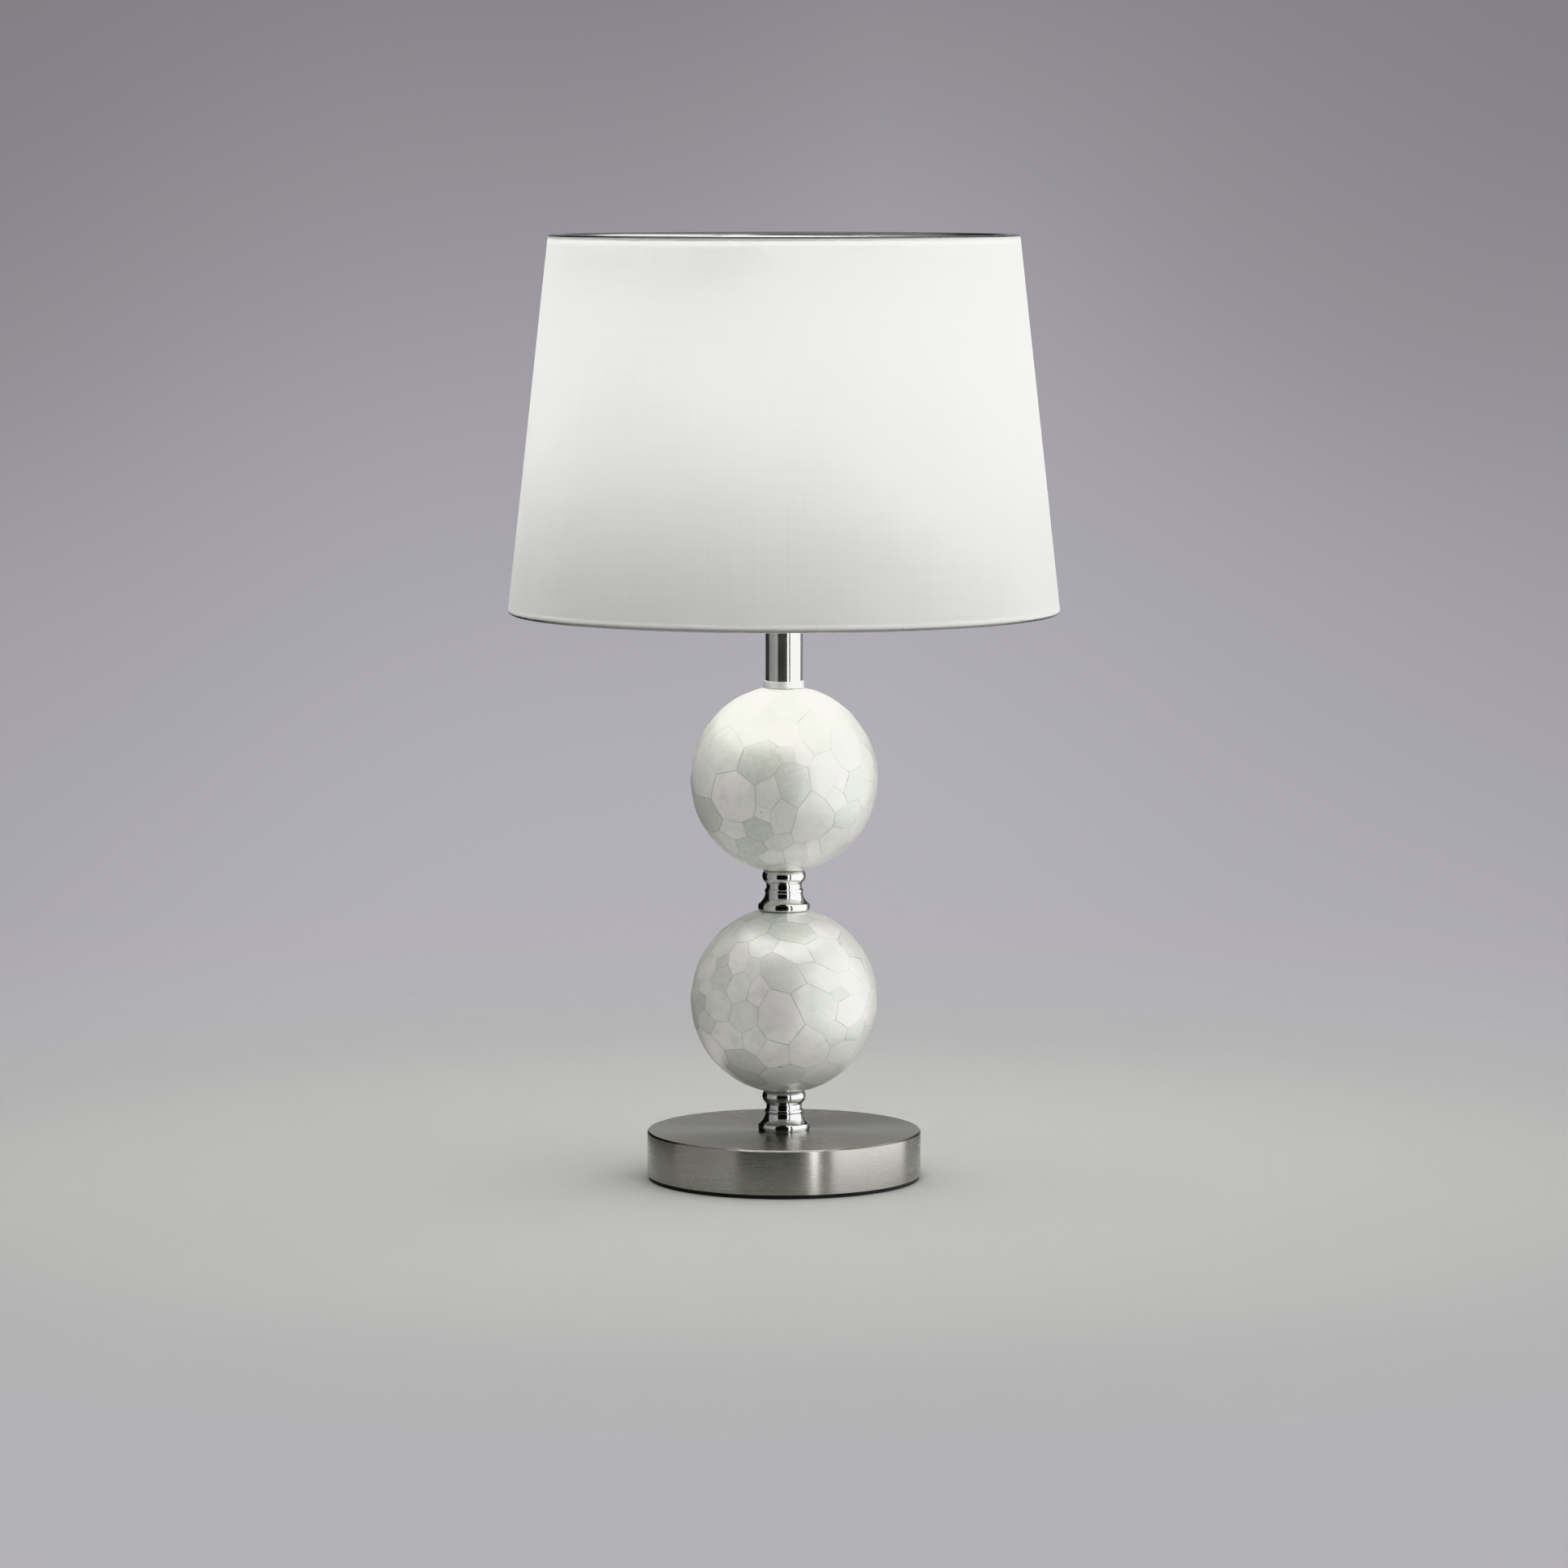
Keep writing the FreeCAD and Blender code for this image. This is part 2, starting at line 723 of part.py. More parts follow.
def make_ball_core(label, height):
    """Hollow resin ball with a thick boss at each pole, where the collars press on it."""
    cavity_radius = core_radius - s.core_wall
    pole = side(core_radius, rod_hole_radius)
    boss_face = pole - s.core_boss_depth
    boss_root = side(cavity_radius, s.core_boss_radius)
    turned(label, [
        (rod_hole_radius, -pole),
        swell(core_radius - rod_hole_radius),
        (rod_hole_radius, pole),
        (rod_hole_radius, boss_face),
        (s.core_boss_radius, boss_face),
        (s.core_boss_radius, boss_root),
        hollow(cavity_radius - s.core_boss_radius),
        (s.core_boss_radius, -boss_root),
        (s.core_boss_radius, -boss_face),
        (rod_hole_radius, -boss_face),
    ], height)


def make_shell_skin():
    """Skin of shell chips: a thin sphere, ground almost flat where each chip lies."""
    radius = s.ball_radius.value
    flat_depth = s.chip_flat_depth.value
    flat_radius = math.sqrt(radius ** 2 - (radius - flat_depth) ** 2)
    count = int(s.chip_count.value)
    flats = []
    for index in range(count):
        height = 1.0 - 2.0 * (index + 0.5) / count
        spread = math.sqrt(1.0 - height * height)
        turn = index * GOLDEN_TURN
        outward = Vector(spread * math.cos(turn), spread * math.sin(turn), height)
        if spread * radius > s.chip_free_pole_radius.value:
            face = outward * (radius - flat_depth)
            flats.append(Part.makeCylinder(flat_radius * 1.2, flat_depth * 3.0, face, outward))
    inside = Part.makeSphere(radius - s.shell_thickness.value)
    pole_hole = Part.makeCylinder(s.shell_pole_radius.value, 4 * radius, Vector(0, 0, -2 * radius))
    return Part.makeSphere(radius).cut(flats).cut([inside, pole_hole])


def make_ball_skins():
    skin = make_shell_skin()
    for label, height in (("lower_ball_shell", lower_ball_centre),
                          ("upper_ball_shell", upper_ball_centre)):
        lift(frozen(label, skin), height)


# ---------------------------------------------------------------- neck

def make_neck():
    """Chrome seat ring, the tube standing in it, and the disc that closes the tube's top."""
    fit_radius = s.neck_radius + s.neck_fit_clearance
    bore = s.neck_radius - s.neck_wall
    turned("neck_ring", [
        (rod_hole_radius, s.neck_ring_floor - s.neck_wall),
        (s.neck_ring_seat_radius, s.neck_ring_floor - s.neck_wall),
        (s.neck_ring_seat_radius, 0.0),
        (s.neck_ring_radius, 0.0),
        (s.neck_ring_radius, s.neck_ring_height),
        (fit_radius, s.neck_ring_height),
        (fit_radius, s.neck_ring_floor),
        (rod_hole_radius, s.neck_ring_floor),
    ], neck_ring_bottom)
    turned("neck_tube", [
        (bore, 0.0),
        (s.neck_radius, 0.0),
        (s.neck_radius, s.neck_length),
        (bore, s.neck_length),
    ], neck_bottom)
    spigot_radius = bore - s.neck_fit_clearance
    turned("neck_cap", [
        (rod_hole_radius, -s.neck_cap_spigot),
        (spigot_radius, -s.neck_cap_spigot),
        (spigot_radius, 0.0),
        (s.neck_ring_radius, 0.0),
        (s.neck_ring_radius, s.neck_cap_thickness),
        (rod_hole_radius, s.neck_cap_thickness),
    ], neck_top)


# ---------------------------------------------------------------- lampholder

def make_holder_cap():
    """Domed foot of the lampholder, screwed onto the rod."""
    inner_radius = s.holder_cap_radius - s.holder_cap_wall
    body = turned("holder_cap", [
        (thread_hole_radius, 0.0),
        (s.holder_cap_foot_radius, 0.0),
        swell(s.holder_cap_roundness),
        (s.holder_cap_radius, s.holder_cap_dome_height),
        (s.holder_cap_radius, s.holder_cap_height),
        (inner_radius, s.holder_cap_height),
        (inner_radius, s.holder_cap_dome_height),
        (s.holder_boss_radius, s.holder_cap_wall),
        (s.holder_boss_radius, s.holder_boss_height),
        (thread_hole_radius, s.holder_boss_height),
    ], holder_cap_bottom)
    hole = sketch_on(body, "cap_screw_hole_circle", "YZ_Plane")
    circle(hole, s.cap_screw_radius + s.screw_clearance, 0.0, s.cap_screw_height)
    pocket(body, "cap_screw_hole", hole, s.holder_cap_radius, reversed_cut=True)


def make_cap_screw():
    """Grub screw that stops the lampholder from turning on the rod."""
    body = new_body("holder_cap_screw")
    section = sketch_on(body, "cap_screw_section", "XY_Plane")
    circle(section, s.cap_screw_radius)
    pad(body, "cap_screw_shank", section, s.cap_screw_length)
    slot = sketch_on(body, "cap_screw_slot_section", "XZ_Plane")
    half_width = s.cap_screw_radius / 5.0
    rectangle(slot, -half_width, half_width, s.cap_screw_length * 0.75, s.cap_screw_length * 2.0)
    before = body.Shape.Volume
    driver_slot = add_feature(body, "Pocket", "cap_screw_slot", Profile=slot, Midplane=True)
    driver_slot.setExpression("Length", (s.cap_screw_radius * 4.0).text)
    doc.recompute()
    if body.Shape.Volume >= before:
        raise RuntimeError("the grub screw's slot cuts nothing")
    body.Placement = FreeCAD.Placement(Vector(), FreeCAD.Rotation(Vector(0, 1, 0), 90))
    body.setExpression("Placement.Base.x", thread_hole_radius.text)
    lift(body, holder_cap_bottom + s.cap_screw_height)


def make_holder_body():
    """Threaded sleeve that takes the bulb, with the shoulder that the shade's carrier rests on."""
    shoulder_foot = s.holder_cap_radius
    shoulder_bottom = s.holder_shoulder_height - s.holder_cap_wall
    body = turned("holder_body", [
        (s.holder_cavity_radius, 0.0),
        (shoulder_foot, 0.0),
        (s.holder_shoulder_radius, shoulder_bottom),
        (s.holder_shoulder_radius, s.holder_shoulder_height),
        (s.holder_thread_radius, s.holder_shoulder_height),
        (s.holder_thread_radius, s.holder_body_height - s.holder_cap_wall / 2.0),
        (s.holder_thread_radius - s.holder_cap_wall / 2.0, s.holder_body_height),
        (s.holder_mouth_radius, s.holder_body_height),
        (s.holder_mouth_radius, s.holder_cavity_height),
        (s.holder_cavity_radius, s.holder_cavity_height),
    ], holder_body_bottom)
    slot = sketch_on(body, "contact_slot_section", "XY_Plane")
    half_width = s.contact_slot_width / 2.0
    rectangle(slot, 0.0, s.holder_mouth_radius + s.contact_slot_depth, -half_width, half_width)
    slot_height = s.holder_cavity_height + s.contact_leaf_height + s.contact_leaf_width / 2.0
    pocket(body, "contact_slot", slot, slot_height, reversed_cut=True)


def make_contact_block():
    """Insulating block that carries the contacts and the terminals."""
    block_radius = s.holder_cavity_radius - s.contact_block_clearance
    body = new_body("contact_block")
    section = sketch_on(body, "contact_block_section", "XY_Plane")
    circle(section, block_radius)
    for place in (-(s.terminal_spacing / 2.0), s.terminal_spacing / 2.0):
        circle(section, s.terminal_screw_radius + s.screw_clearance, 0.0, place)
    pad(body, "contact_block_blank", section, s.contact_block_height)
    lift(body, holder_body_bottom)


def make_centre_contact():
    """Sprung brass strip, arched up to meet the foot of the bulb."""
    half_span = s.centre_contact_span / 2.0
    rise, leaf = s.centre_contact_rise, s.contact_leaf_thickness
    body = new_body("centre_contact")
    arch = sketch_on(body, "centre_contact_arch", "XZ_Plane")
    outline(arch, [
        (-half_span, 0.0),
        hollow(rise),
        (half_span, 0.0),
        (half_span, leaf),
        swell(rise),
        (-half_span, leaf),
    ])
    strip = add_feature(body, "Pad", "centre_contact_strip", Profile=arch, Midplane=True)
    strip.setExpression("Length", s.contact_leaf_width.text)
    doc.recompute()
    lift(body, contact_block_top)


def make_side_contact():
    """Brass leaf in its slot beside the bulb's thread, bent from a foot on the contact block."""
    leaf = s.contact_leaf_thickness
    outside = s.holder_mouth_radius + s.contact_slot_depth - s.contact_block_clearance
    inside = outside - leaf
    toe = inside - s.contact_slot_depth
    body = new_body("side_contact")
    section = sketch_on(body, "side_contact_section", "XZ_Plane")
    outline(section, [
        (toe, 0.0),
        (outside, 0.0),
        (outside, s.contact_leaf_height),
        (inside, s.contact_leaf_height),
        (inside, leaf),
        (toe, leaf),
    ])
    strip = add_feature(body, "Pad", "side_contact_strip", Profile=section, Midplane=True)
    strip.setExpression("Length", s.contact_leaf_width.text)
    doc.recompute()
    lift(body, contact_block_top)


def make_terminal_screws():
    """Two terminal screws in the contact block, heads down, as one group of separate solids."""
    radius = s.terminal_screw_radius.value
    head_height = s.terminal_head_height.value
    shank = Part.makeCylinder(radius, s.terminal_screw_length.value)
    head = Part.makeCylinder(s.terminal_head_radius.value, head_height, Vector(0, 0, -head_height))
    slot = Part.makeBox(head_height * 4, radius / 2, head_height / 2)
    slot.translate(Vector(-head_height * 2, -radius / 4, -head_height))
    screw = head.fuse(shank).removeSplitter().cut(slot)
    group = []
    for place in (-s.terminal_spacing.value / 2, s.terminal_spacing.value / 2):
        copy = screw.copy()
        copy.translate(Vector(0, place, 0))
        group.append(copy)
    lift(frozen("terminal_screws", Part.makeCompound(group)), holder_body_bottom)


# ---------------------------------------------------------------- shade

def make_shade_carrier():
    """Flat steel ring that sits on the lampholder's shoulder and carries the shade."""
    body = new_body("shade_carrier")
    section = sketch_on(body, "carrier_section", "XY_Plane")
    circle(section, s.carrier_radius)
    circle(section, s.holder_thread_radius + s.carrier_clearance)
    pad(body, "carrier_sheet", section, s.carrier_thickness)
    lift(body, carrier_bottom)


def make_clamp_ring():
    """Fluted ring nut that clamps the carrier down on the shoulder."""
    body = new_body("shade_clamp_ring")
    section = sketch_on(body, "clamp_ring_section", "XY_Plane")
    circle(section, s.clamp_ring_radius)
    circle(section, s.holder_thread_radius + s.clamp_ring_clearance)
    pad(body, "clamp_ring_blank", section, s.clamp_ring_height)
    flute_circle = sketch_on(body, "flute_circle", "XY_Plane")
    circle(flute_circle, s.clamp_ring_flute_radius, s.clamp_ring_radius, 0.0)
    flute = pocket(body, "flute", flute_circle, s.clamp_ring_height, reversed_cut=True)
    around(body, "flutes", [flute], s.clamp_ring_flutes)
    lift(body, clamp_ring_bottom)


wrap_inner = s.ring_wire_radius + s.ring_wrap_clearance
wrap_outer = wrap_inner + s.fabric_thickness
bottom_ring = (s.shade_bottom_radius - wrap_outer, wrap_outer)
top_ring = (s.shade_top_radius - wrap_outer, s.shade_height - wrap_outer)
shade_rise = top_ring[1] - bottom_ring[1]
shade_lean = bottom_ring[0] - top_ring[0]
shade_slant = root(shade_rise * shade_rise + shade_lean * shade_lean)


def beside(ring, distance):
    """The point at a distance from a ring's wire, square to the shade's wall."""
    return (ring[0] + distance * shade_rise / shade_slant,
            ring[1] + distance * shade_lean / shade_slant)


def make_shade_rings():
    """Wire rings at the bottom and the top of the shade."""
    for label, (radius, height) in (("shade_bottom_ring", bottom_ring),
                                    ("shade_top_ring", top_ring)):
        wire = doc.addObject("Part::Torus", label)
        wire.Label = label
        wire.setExpression("Radius1", radius.text)
        wire.setExpression("Radius2", s.ring_wire_radius.text)
        lift(wire, shade_bottom + height)


def make_shade_fabric():
    """Fabric cone, rolled over the wire ring at each end."""
    turned("shade_fabric", [
        beside(bottom_ring, wrap_outer),
        beside(top_ring, wrap_outer),
        swell(wrap_outer),
        beside(top_ring, -wrap_outer),
        beside(top_ring, -wrap_inner),
        hollow(wrap_inner),
        beside(top_ring, wrap_inner),
        beside(bottom_ring, wrap_inner),
        hollow(wrap_inner),
        beside(bottom_ring, -wrap_inner),
        beside(bottom_ring, -wrap_outer),
        swell(wrap_outer),
    ], shade_bottom)


def make_shade_lining():
    """Stiff lining inside the fabric, from ring to ring."""
    outside = wrap_inner - s.glue_gap
    inside = outside - s.lining_thickness
    slope = shade_lean / shade_rise

    def along(offset, height):
        radius, level = beside(bottom_ring, offset)
        return (radius - (height - level) * slope, height)

    low = bottom_ring[1] + s.lining_end_gap
    high = top_ring[1] - s.lining_end_gap
    turned("shade_lining", [
        along(inside, low),
        along(outside, low),
        along(outside, high),
        along(inside, high),
    ], shade_bottom)


def make_shade_arms():
    """Three wires from under the carrier down to the bottom ring."""
    start = (s.arm_start_radius, s.shade_drop - s.arm_wire_radius)
    knee = (start[0] + s.arm_level_length, start[1])
    end = (bottom_ring[0] - s.ring_wire_radius - s.arm_weld_gap,
           bottom_ring[1] + s.arm_wire_radius - s.arm_weld_gap * 2.0)
    run, fall = end[0] - knee[0], end[1] - knee[1]
    slant = root(run * run + fall * fall)
    tangent = s.arm_bend_radius * (slant - run) / -fall
    bend_start = (knee[0] - tangent, knee[1])
    bend_end = (knee[0] + tangent * run / slant, knee[1] + tangent * fall / slant)
    for index, name in enumerate(("rear", "left", "right")):
        label = f"shade_arm_{name}"
        body = new_body(label)
        path = sketch_on(body, f"{label}_route", "XZ_Plane")
        draw_arm_route(path, start, bend_start, bend_end, end)
        section = sketch_on(body, f"{label}_section", "YZ_Plane")
        section.AttachmentOffset = FreeCAD.Placement(Vector(0, 0, start[0].value), FreeCAD.Rotation())
        section.setExpression("AttachmentOffset.Base.z", start[0].text)
        circle(section, s.arm_wire_radius, 0.0, start[1])
        add_feature(body, "AdditivePipe", f"{label}_wire", Profile=section, Spine=path)
        turn = REAR_ARM_ANGLE + 360.0 * index / ARM_COUNT
        body.Placement = FreeCAD.Placement(Vector(), FreeCAD.Rotation(Vector(0, 0, 1), turn))
        lift(body, shade_bottom)
        doc.recompute()


def draw_arm_route(path, start, bend_start, bend_end, end):
    """A level run, one bend and the slanting run, each end fixed by its coordinates."""
    centre = (bend_start[0], bend_start[1] - s.arm_bend_radius)
    middle = flat_point(centre)
    bend = Part.Circle(middle, Vector(0, 0, 1), s.arm_bend_radius.value)
    arc = Part.ArcOfCircle(bend, bend.parameter(flat_point(bend_end)),
                           bend.parameter(flat_point(bend_start)))
    level = path.addGeometry(Part.LineSegment(flat_point(start), flat_point(bend_start)), False)
    curve = path.addGeometry(arc, False)
    slope = path.addGeometry(Part.LineSegment(flat_point(bend_end), flat_point(end)), False)
    path.addConstraint(Sketcher.Constraint("Coincident", level, 2, curve, 2))
    path.addConstraint(Sketcher.Constraint("Coincident", curve, 1, slope, 1))
    for edge, point, place in ((level, 1, start), (level, 2, bend_start), (slope, 1, bend_end),
                               (slope, 2, end)):
        drive(path, "DistanceX", edge, point, place[0])
        drive(path, "DistanceY", edge, point, place[1])
    drive(path, "DistanceY", curve, 3, centre[1])


# ---------------------------------------------------------------- bulb

def make_bulb_foot():
    """Centre contact, insulator and threaded cap of the bulb."""
    turned("bulb_contact", [
        (0.0, 0.0),
        (s.bulb_contact_radius / 2.0, 0.0),
        (s.bulb_contact_radius, s.bulb_contact_height),
        (0.0, s.bulb_contact_height),
    ], bulb_bottom)
    turned("bulb_insulator", [
        (0.0, s.bulb_contact_height),
        (s.bulb_contact_radius, s.bulb_contact_height),
        (s.bulb_insulator_radius, s.bulb_insulator_height),
        (0.0, s.bulb_insulator_height),
    ], bulb_bottom)
    inner = s.bulb_cap_radius - s.bulb_cap_wall
    turned("bulb_cap", [
        (0.0, s.bulb_insulator_height),
        (s.bulb_insulator_radius, s.bulb_insulator_height),
        (s.bulb_cap_radius, s.bulb_insulator_height * 1.5),
        (s.bulb_cap_radius, s.bulb_cap_height),
        (inner, s.bulb_cap_height),
        (inner, s.bulb_insulator_height * 1.5 + s.bulb_cap_wall),
        (0.0, s.bulb_insulator_height * 1.5 + s.bulb_cap_wall),
    ], bulb_bottom)


def make_bulb_body():
    """Housing, the boards for light and driver that it holds, and the opal globe over them."""
    neck = s.bulb_cap_radius - s.bulb_cap_wall - s.bulb_fit_clearance
    neck_bottom_level = s.bulb_cap_height - s.bulb_insulator_height * 2.0
    wall = s.bulb_housing_wall
    turned("bulb_housing", [
        (neck - wall, neck_bottom_level),
        (neck, neck_bottom_level),
        (neck, s.bulb_cap_height),
        (s.bulb_cap_radius + wall, s.bulb_cap_height),
        hollow(s.bulb_housing_roundness),
        (s.bulb_housing_radius, s.bulb_housing_height),
        (s.bulb_housing_radius - wall, s.bulb_housing_height),
        swell(s.bulb_housing_roundness),
        (neck - wall, s.bulb_cap_height + wall),
    ], bulb_bottom)
    board_radius = s.bulb_housing_radius - wall - s.board_inset
    globe_mouth = s.bulb_housing_radius - s.bulb_globe_wall
    turned("bulb_board", [
        (0.0, 0.0),
        (board_radius, 0.0),
        (board_radius, s.board_thickness),
        (0.0, s.board_thickness),
    ], bulb_bottom + s.bulb_housing_height)
    driver = new_body("bulb_driver")
    section = sketch_on(driver, "driver_section", "XY_Plane")
    half_width, half_thickness = s.driver_width / 2.0, s.board_thickness / 2.0
    rectangle(section, -half_width, half_width, -half_thickness, half_thickness)
    pad(driver, "driver_board", section, s.driver_height)
    lift(driver, bulb_bottom + s.bulb_housing_height - s.driver_height)
    inner_globe = s.bulb_globe_radius - s.bulb_globe_wall
    dome_height = s.bulb_height - s.bulb_globe_centre
    inner_dome_height = dome_height - s.bulb_globe_wall
    cheek = s.bulb_globe_radius - s.bulb_housing_radius
    turned("bulb_globe", [
        (globe_mouth, s.bulb_housing_height),
        (s.bulb_housing_radius, s.bulb_housing_height),
        swell(cheek / 4.0),
        (s.bulb_globe_radius, s.bulb_globe_centre),
        swell(quarter_bow(s.bulb_globe_radius, dome_height)),
        (0.0, s.bulb_height),
        (0.0, s.bulb_height - s.bulb_globe_wall),
        hollow(quarter_bow(inner_globe, inner_dome_height)),
        (inner_globe, s.bulb_globe_centre),
        hollow(cheek / 4.0),
    ], bulb_bottom)


def quarter_bow(radius, height):
    """Depth of the bow from a globe's widest point to its top, for a crown level at the axis."""
    chord = root(radius * radius + height * height)
    crown_radius = chord * chord / (height * 2.0)
    return crown_radius - side(crown_radius, chord / 2.0)


# ---------------------------------------------------------------- assembly

def make_lamp():
    make_base_pad()
    make_bottom_plate()
    make_plate_screws()
    make_base_shell()
    make_base_weight()
    make_cord_grommet()
    make_threaded_rod()
    make_rod_washer()
    make_spring_washer()
    make_nut("rod_nut", s.rod_nut_flats, s.rod_nut_thickness, rod_nut_bottom)
    make_rod_bush()
    make_collar("lower_collar", s.base_height)
    make_ball_core("lower_ball_core", lower_ball_centre)
    make_collar("middle_collar", middle_collar_bottom)
    make_ball_core("upper_ball_core", upper_ball_centre)
    make_ball_skins()
    make_neck()
    make_nut("neck_lock_nut", s.lock_nut_flats, s.lock_nut_thickness, lock_nut_bottom)
    make_holder_cap()
    make_cap_screw()
    make_holder_body()
    make_contact_block()
    make_centre_contact()
    make_side_contact()
    make_terminal_screws()
    make_shade_carrier()
    make_clamp_ring()
    make_shade_rings()
    make_shade_fabric()
    make_shade_lining()
    make_shade_arms()
    make_bulb_foot()
    make_bulb_body()
    doc.recompute()


def sub_parts():
    """The bodies, wire rings and worked-out shapes: everything that is a piece of the lamp."""
    kinds = ("PartDesign::Body", "Part::Torus", "Part::Feature")
    return [item for item in doc.Objects if item.TypeId in kinds]


def check_model():
    """Stops if any object failed or any sub-part has no sound shape."""
    for item in doc.Objects:
        if "Invalid" in item.State or "Error" in item.State:
            raise RuntimeError(f"{item.Label} failed: {item.State}")
    for item in sub_parts():
        if item.Shape.isNull() or not item.Shape.isValid():
            raise RuntimeError(f"{item.Label} has no sound shape")


def write_parts():
    for item in sub_parts():
        item.Shape.exportStep(f"parts/{item.Label}.step")
        print(f"{item.Label}: {item.Shape.Volume / 1000:.2f} cm3")


make_lamp()
check_model()
write_parts()
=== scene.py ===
import json
import math

import bmesh
import bpy
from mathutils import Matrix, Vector


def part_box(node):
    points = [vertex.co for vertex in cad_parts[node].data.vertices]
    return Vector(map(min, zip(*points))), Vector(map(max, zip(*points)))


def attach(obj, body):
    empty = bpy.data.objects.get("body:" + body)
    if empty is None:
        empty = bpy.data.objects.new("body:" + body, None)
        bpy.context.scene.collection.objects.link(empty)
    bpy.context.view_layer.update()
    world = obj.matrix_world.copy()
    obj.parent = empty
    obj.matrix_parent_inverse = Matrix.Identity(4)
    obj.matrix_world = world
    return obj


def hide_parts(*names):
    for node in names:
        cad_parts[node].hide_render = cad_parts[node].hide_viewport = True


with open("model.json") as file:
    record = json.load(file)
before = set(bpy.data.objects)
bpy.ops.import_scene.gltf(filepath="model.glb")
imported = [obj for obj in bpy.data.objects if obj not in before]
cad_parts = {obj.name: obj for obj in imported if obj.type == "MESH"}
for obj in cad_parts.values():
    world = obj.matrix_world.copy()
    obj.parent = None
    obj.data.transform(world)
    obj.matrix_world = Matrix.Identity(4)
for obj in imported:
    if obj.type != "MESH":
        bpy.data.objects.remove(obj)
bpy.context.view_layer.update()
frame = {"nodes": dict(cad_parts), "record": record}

mm = 0.001


# small helpers for node trees, used by the materials, the world and the geometry trees

def feed(tree, node, inputs):
    for key, value in inputs.items():
        if isinstance(value, bpy.types.NodeSocket):
            tree.links.new(value, node.inputs[key])
        else:
            node.inputs[key].default_value = value


def addNode(tree, kind, inputs=None, **settings):
    made = tree.nodes.new(kind)
    for name, value in settings.items():
        setattr(made, name, value)
    feed(tree, made, inputs or {})
    return made


def calc(tree, operation, first, second=0.0, third=0.0):
    return addNode(tree, "ShaderNodeMath", {0: first, 1: second, 2: third},
                   operation=operation).outputs[0]


def vectorCalc(tree, operation, first, second=(0, 0, 0)):
    made = addNode(tree, "ShaderNodeVectorMath", {0: first, 1: second}, operation=operation)
    return made.outputs["Value" if operation in ("DOT_PRODUCT", "LENGTH") else "Vector"]


def scaled(tree, vector, factor):
    return addNode(tree, "ShaderNodeVectorMath", {0: vector, "Scale": factor},
                   operation="SCALE").outputs["Vector"]


def axisDistance(tree, place):
    return vectorCalc(tree, "LENGTH", vectorCalc(tree, "MULTIPLY", place, (1, 1, 0)))


def smoothStep(tree, value, low, high, start=0.0, end=1.0):
    return addNode(tree, "ShaderNodeMapRange",
                   {"Value": value, "From Min": low, "From Max": high, "To Min": start,
                    "To Max": end}, interpolation_type="SMOOTHSTEP").outputs["Result"]


def noise(tree, place, scale, detail, **more):
    return addNode(tree, "ShaderNodeTexNoise", {"Vector": place, "Scale": scale, "Detail": detail,
                                                **more}).outputs["Fac"]


def ramp(tree, factor, stops, interpolation="LINEAR"):
    made = addNode(tree, "ShaderNodeValToRGB", {"Fac": factor})
    made.color_ramp.interpolation = interpolation
    elements = made.color_ramp.elements
    while len(elements) < len(stops):
        elements.new(0.5)
    for element, (place, colour) in zip(elements, stops):
        element.position = place
        element.color = (*colour, 1.0)
    return made.outputs["Color"]


def mixColour(tree, factor, first, second, blend="MIX"):
    colours = [item if isinstance(item, bpy.types.NodeSocket) else (*item, 1.0)
               for item in (first, second)]
    return addNode(tree, "ShaderNodeMix", {0: factor, 6: colours[0], 7: colours[1]},
                   data_type="RGBA", blend_type=blend).outputs[2]


# camera, at the photograph's viewing angle

cameraSizes = {
    "back": 3.340586,
    "height": 0.550486,
    "pitchDown": 0.0995848,         # radians
    "lens": 141.2244,               # millimetres, as the sensor's width
    "sensorWidth": 36.0,
}

camera = bpy.data.objects.new("camera", bpy.data.cameras.new("camera"))
camera.data.lens = cameraSizes["lens"]
camera.data.sensor_width = cameraSizes["sensorWidth"]
camera.location = (0.0, -cameraSizes["back"], cameraSizes["height"])
camera.rotation_euler = (math.pi / 2 - cameraSizes["pitchDown"], 0.0, 0.0)
bpy.context.scene.collection.objects.link(camera)
bpy.context.scene.camera = camera


# studio: pale floor that fades into the backdrop, and soft light all round

studio = {
    "floorRadius": 3.0,
    "floorSides": 96,
    "floorDrop": 0.0002,                # keeps the floor just clear of the pad
    "footprint": 0.0725,                # no floor right under the base, where only the pad sees it
    "floorFade": (0.10, 1.30),          # distances from the lamp, in metres
    "floorFadeInGloss": (0.165, 0.20),
    "floorColour": (0.54, 0.55, 0.53),
    "floorBounce": (0.78, 0.78, 0.76),  # the floor as the lamp's undersides see it
    "backdrop": (0.49, 0.475, 0.515),
    "backdropTop": (0.26, 0.248, 0.272),
    "backdropFade": (-0.08, 0.16),      # heights of a direction, from -1 down to 1 up
    "vignetteTurns": 4.0,               # halves of it to a full turn, so it looks alike all round
    "vignetteShift": 0.06,
    "vignetteDepth": 0.11,
    "cloudScale": 6.0,
    "cloudDepth": 0.10,
    "softTop": (0.95, 0.95, 0.95),
    "softTopFade": (0.45, 0.85),
    "mirroredTop": (0.34, 0.34, 0.34),
    "mirroredTopFade": (0.50, 0.80),
    "below": (0.45, 0.45, 0.45),
    "belowFade": (-0.35, -0.75),
}

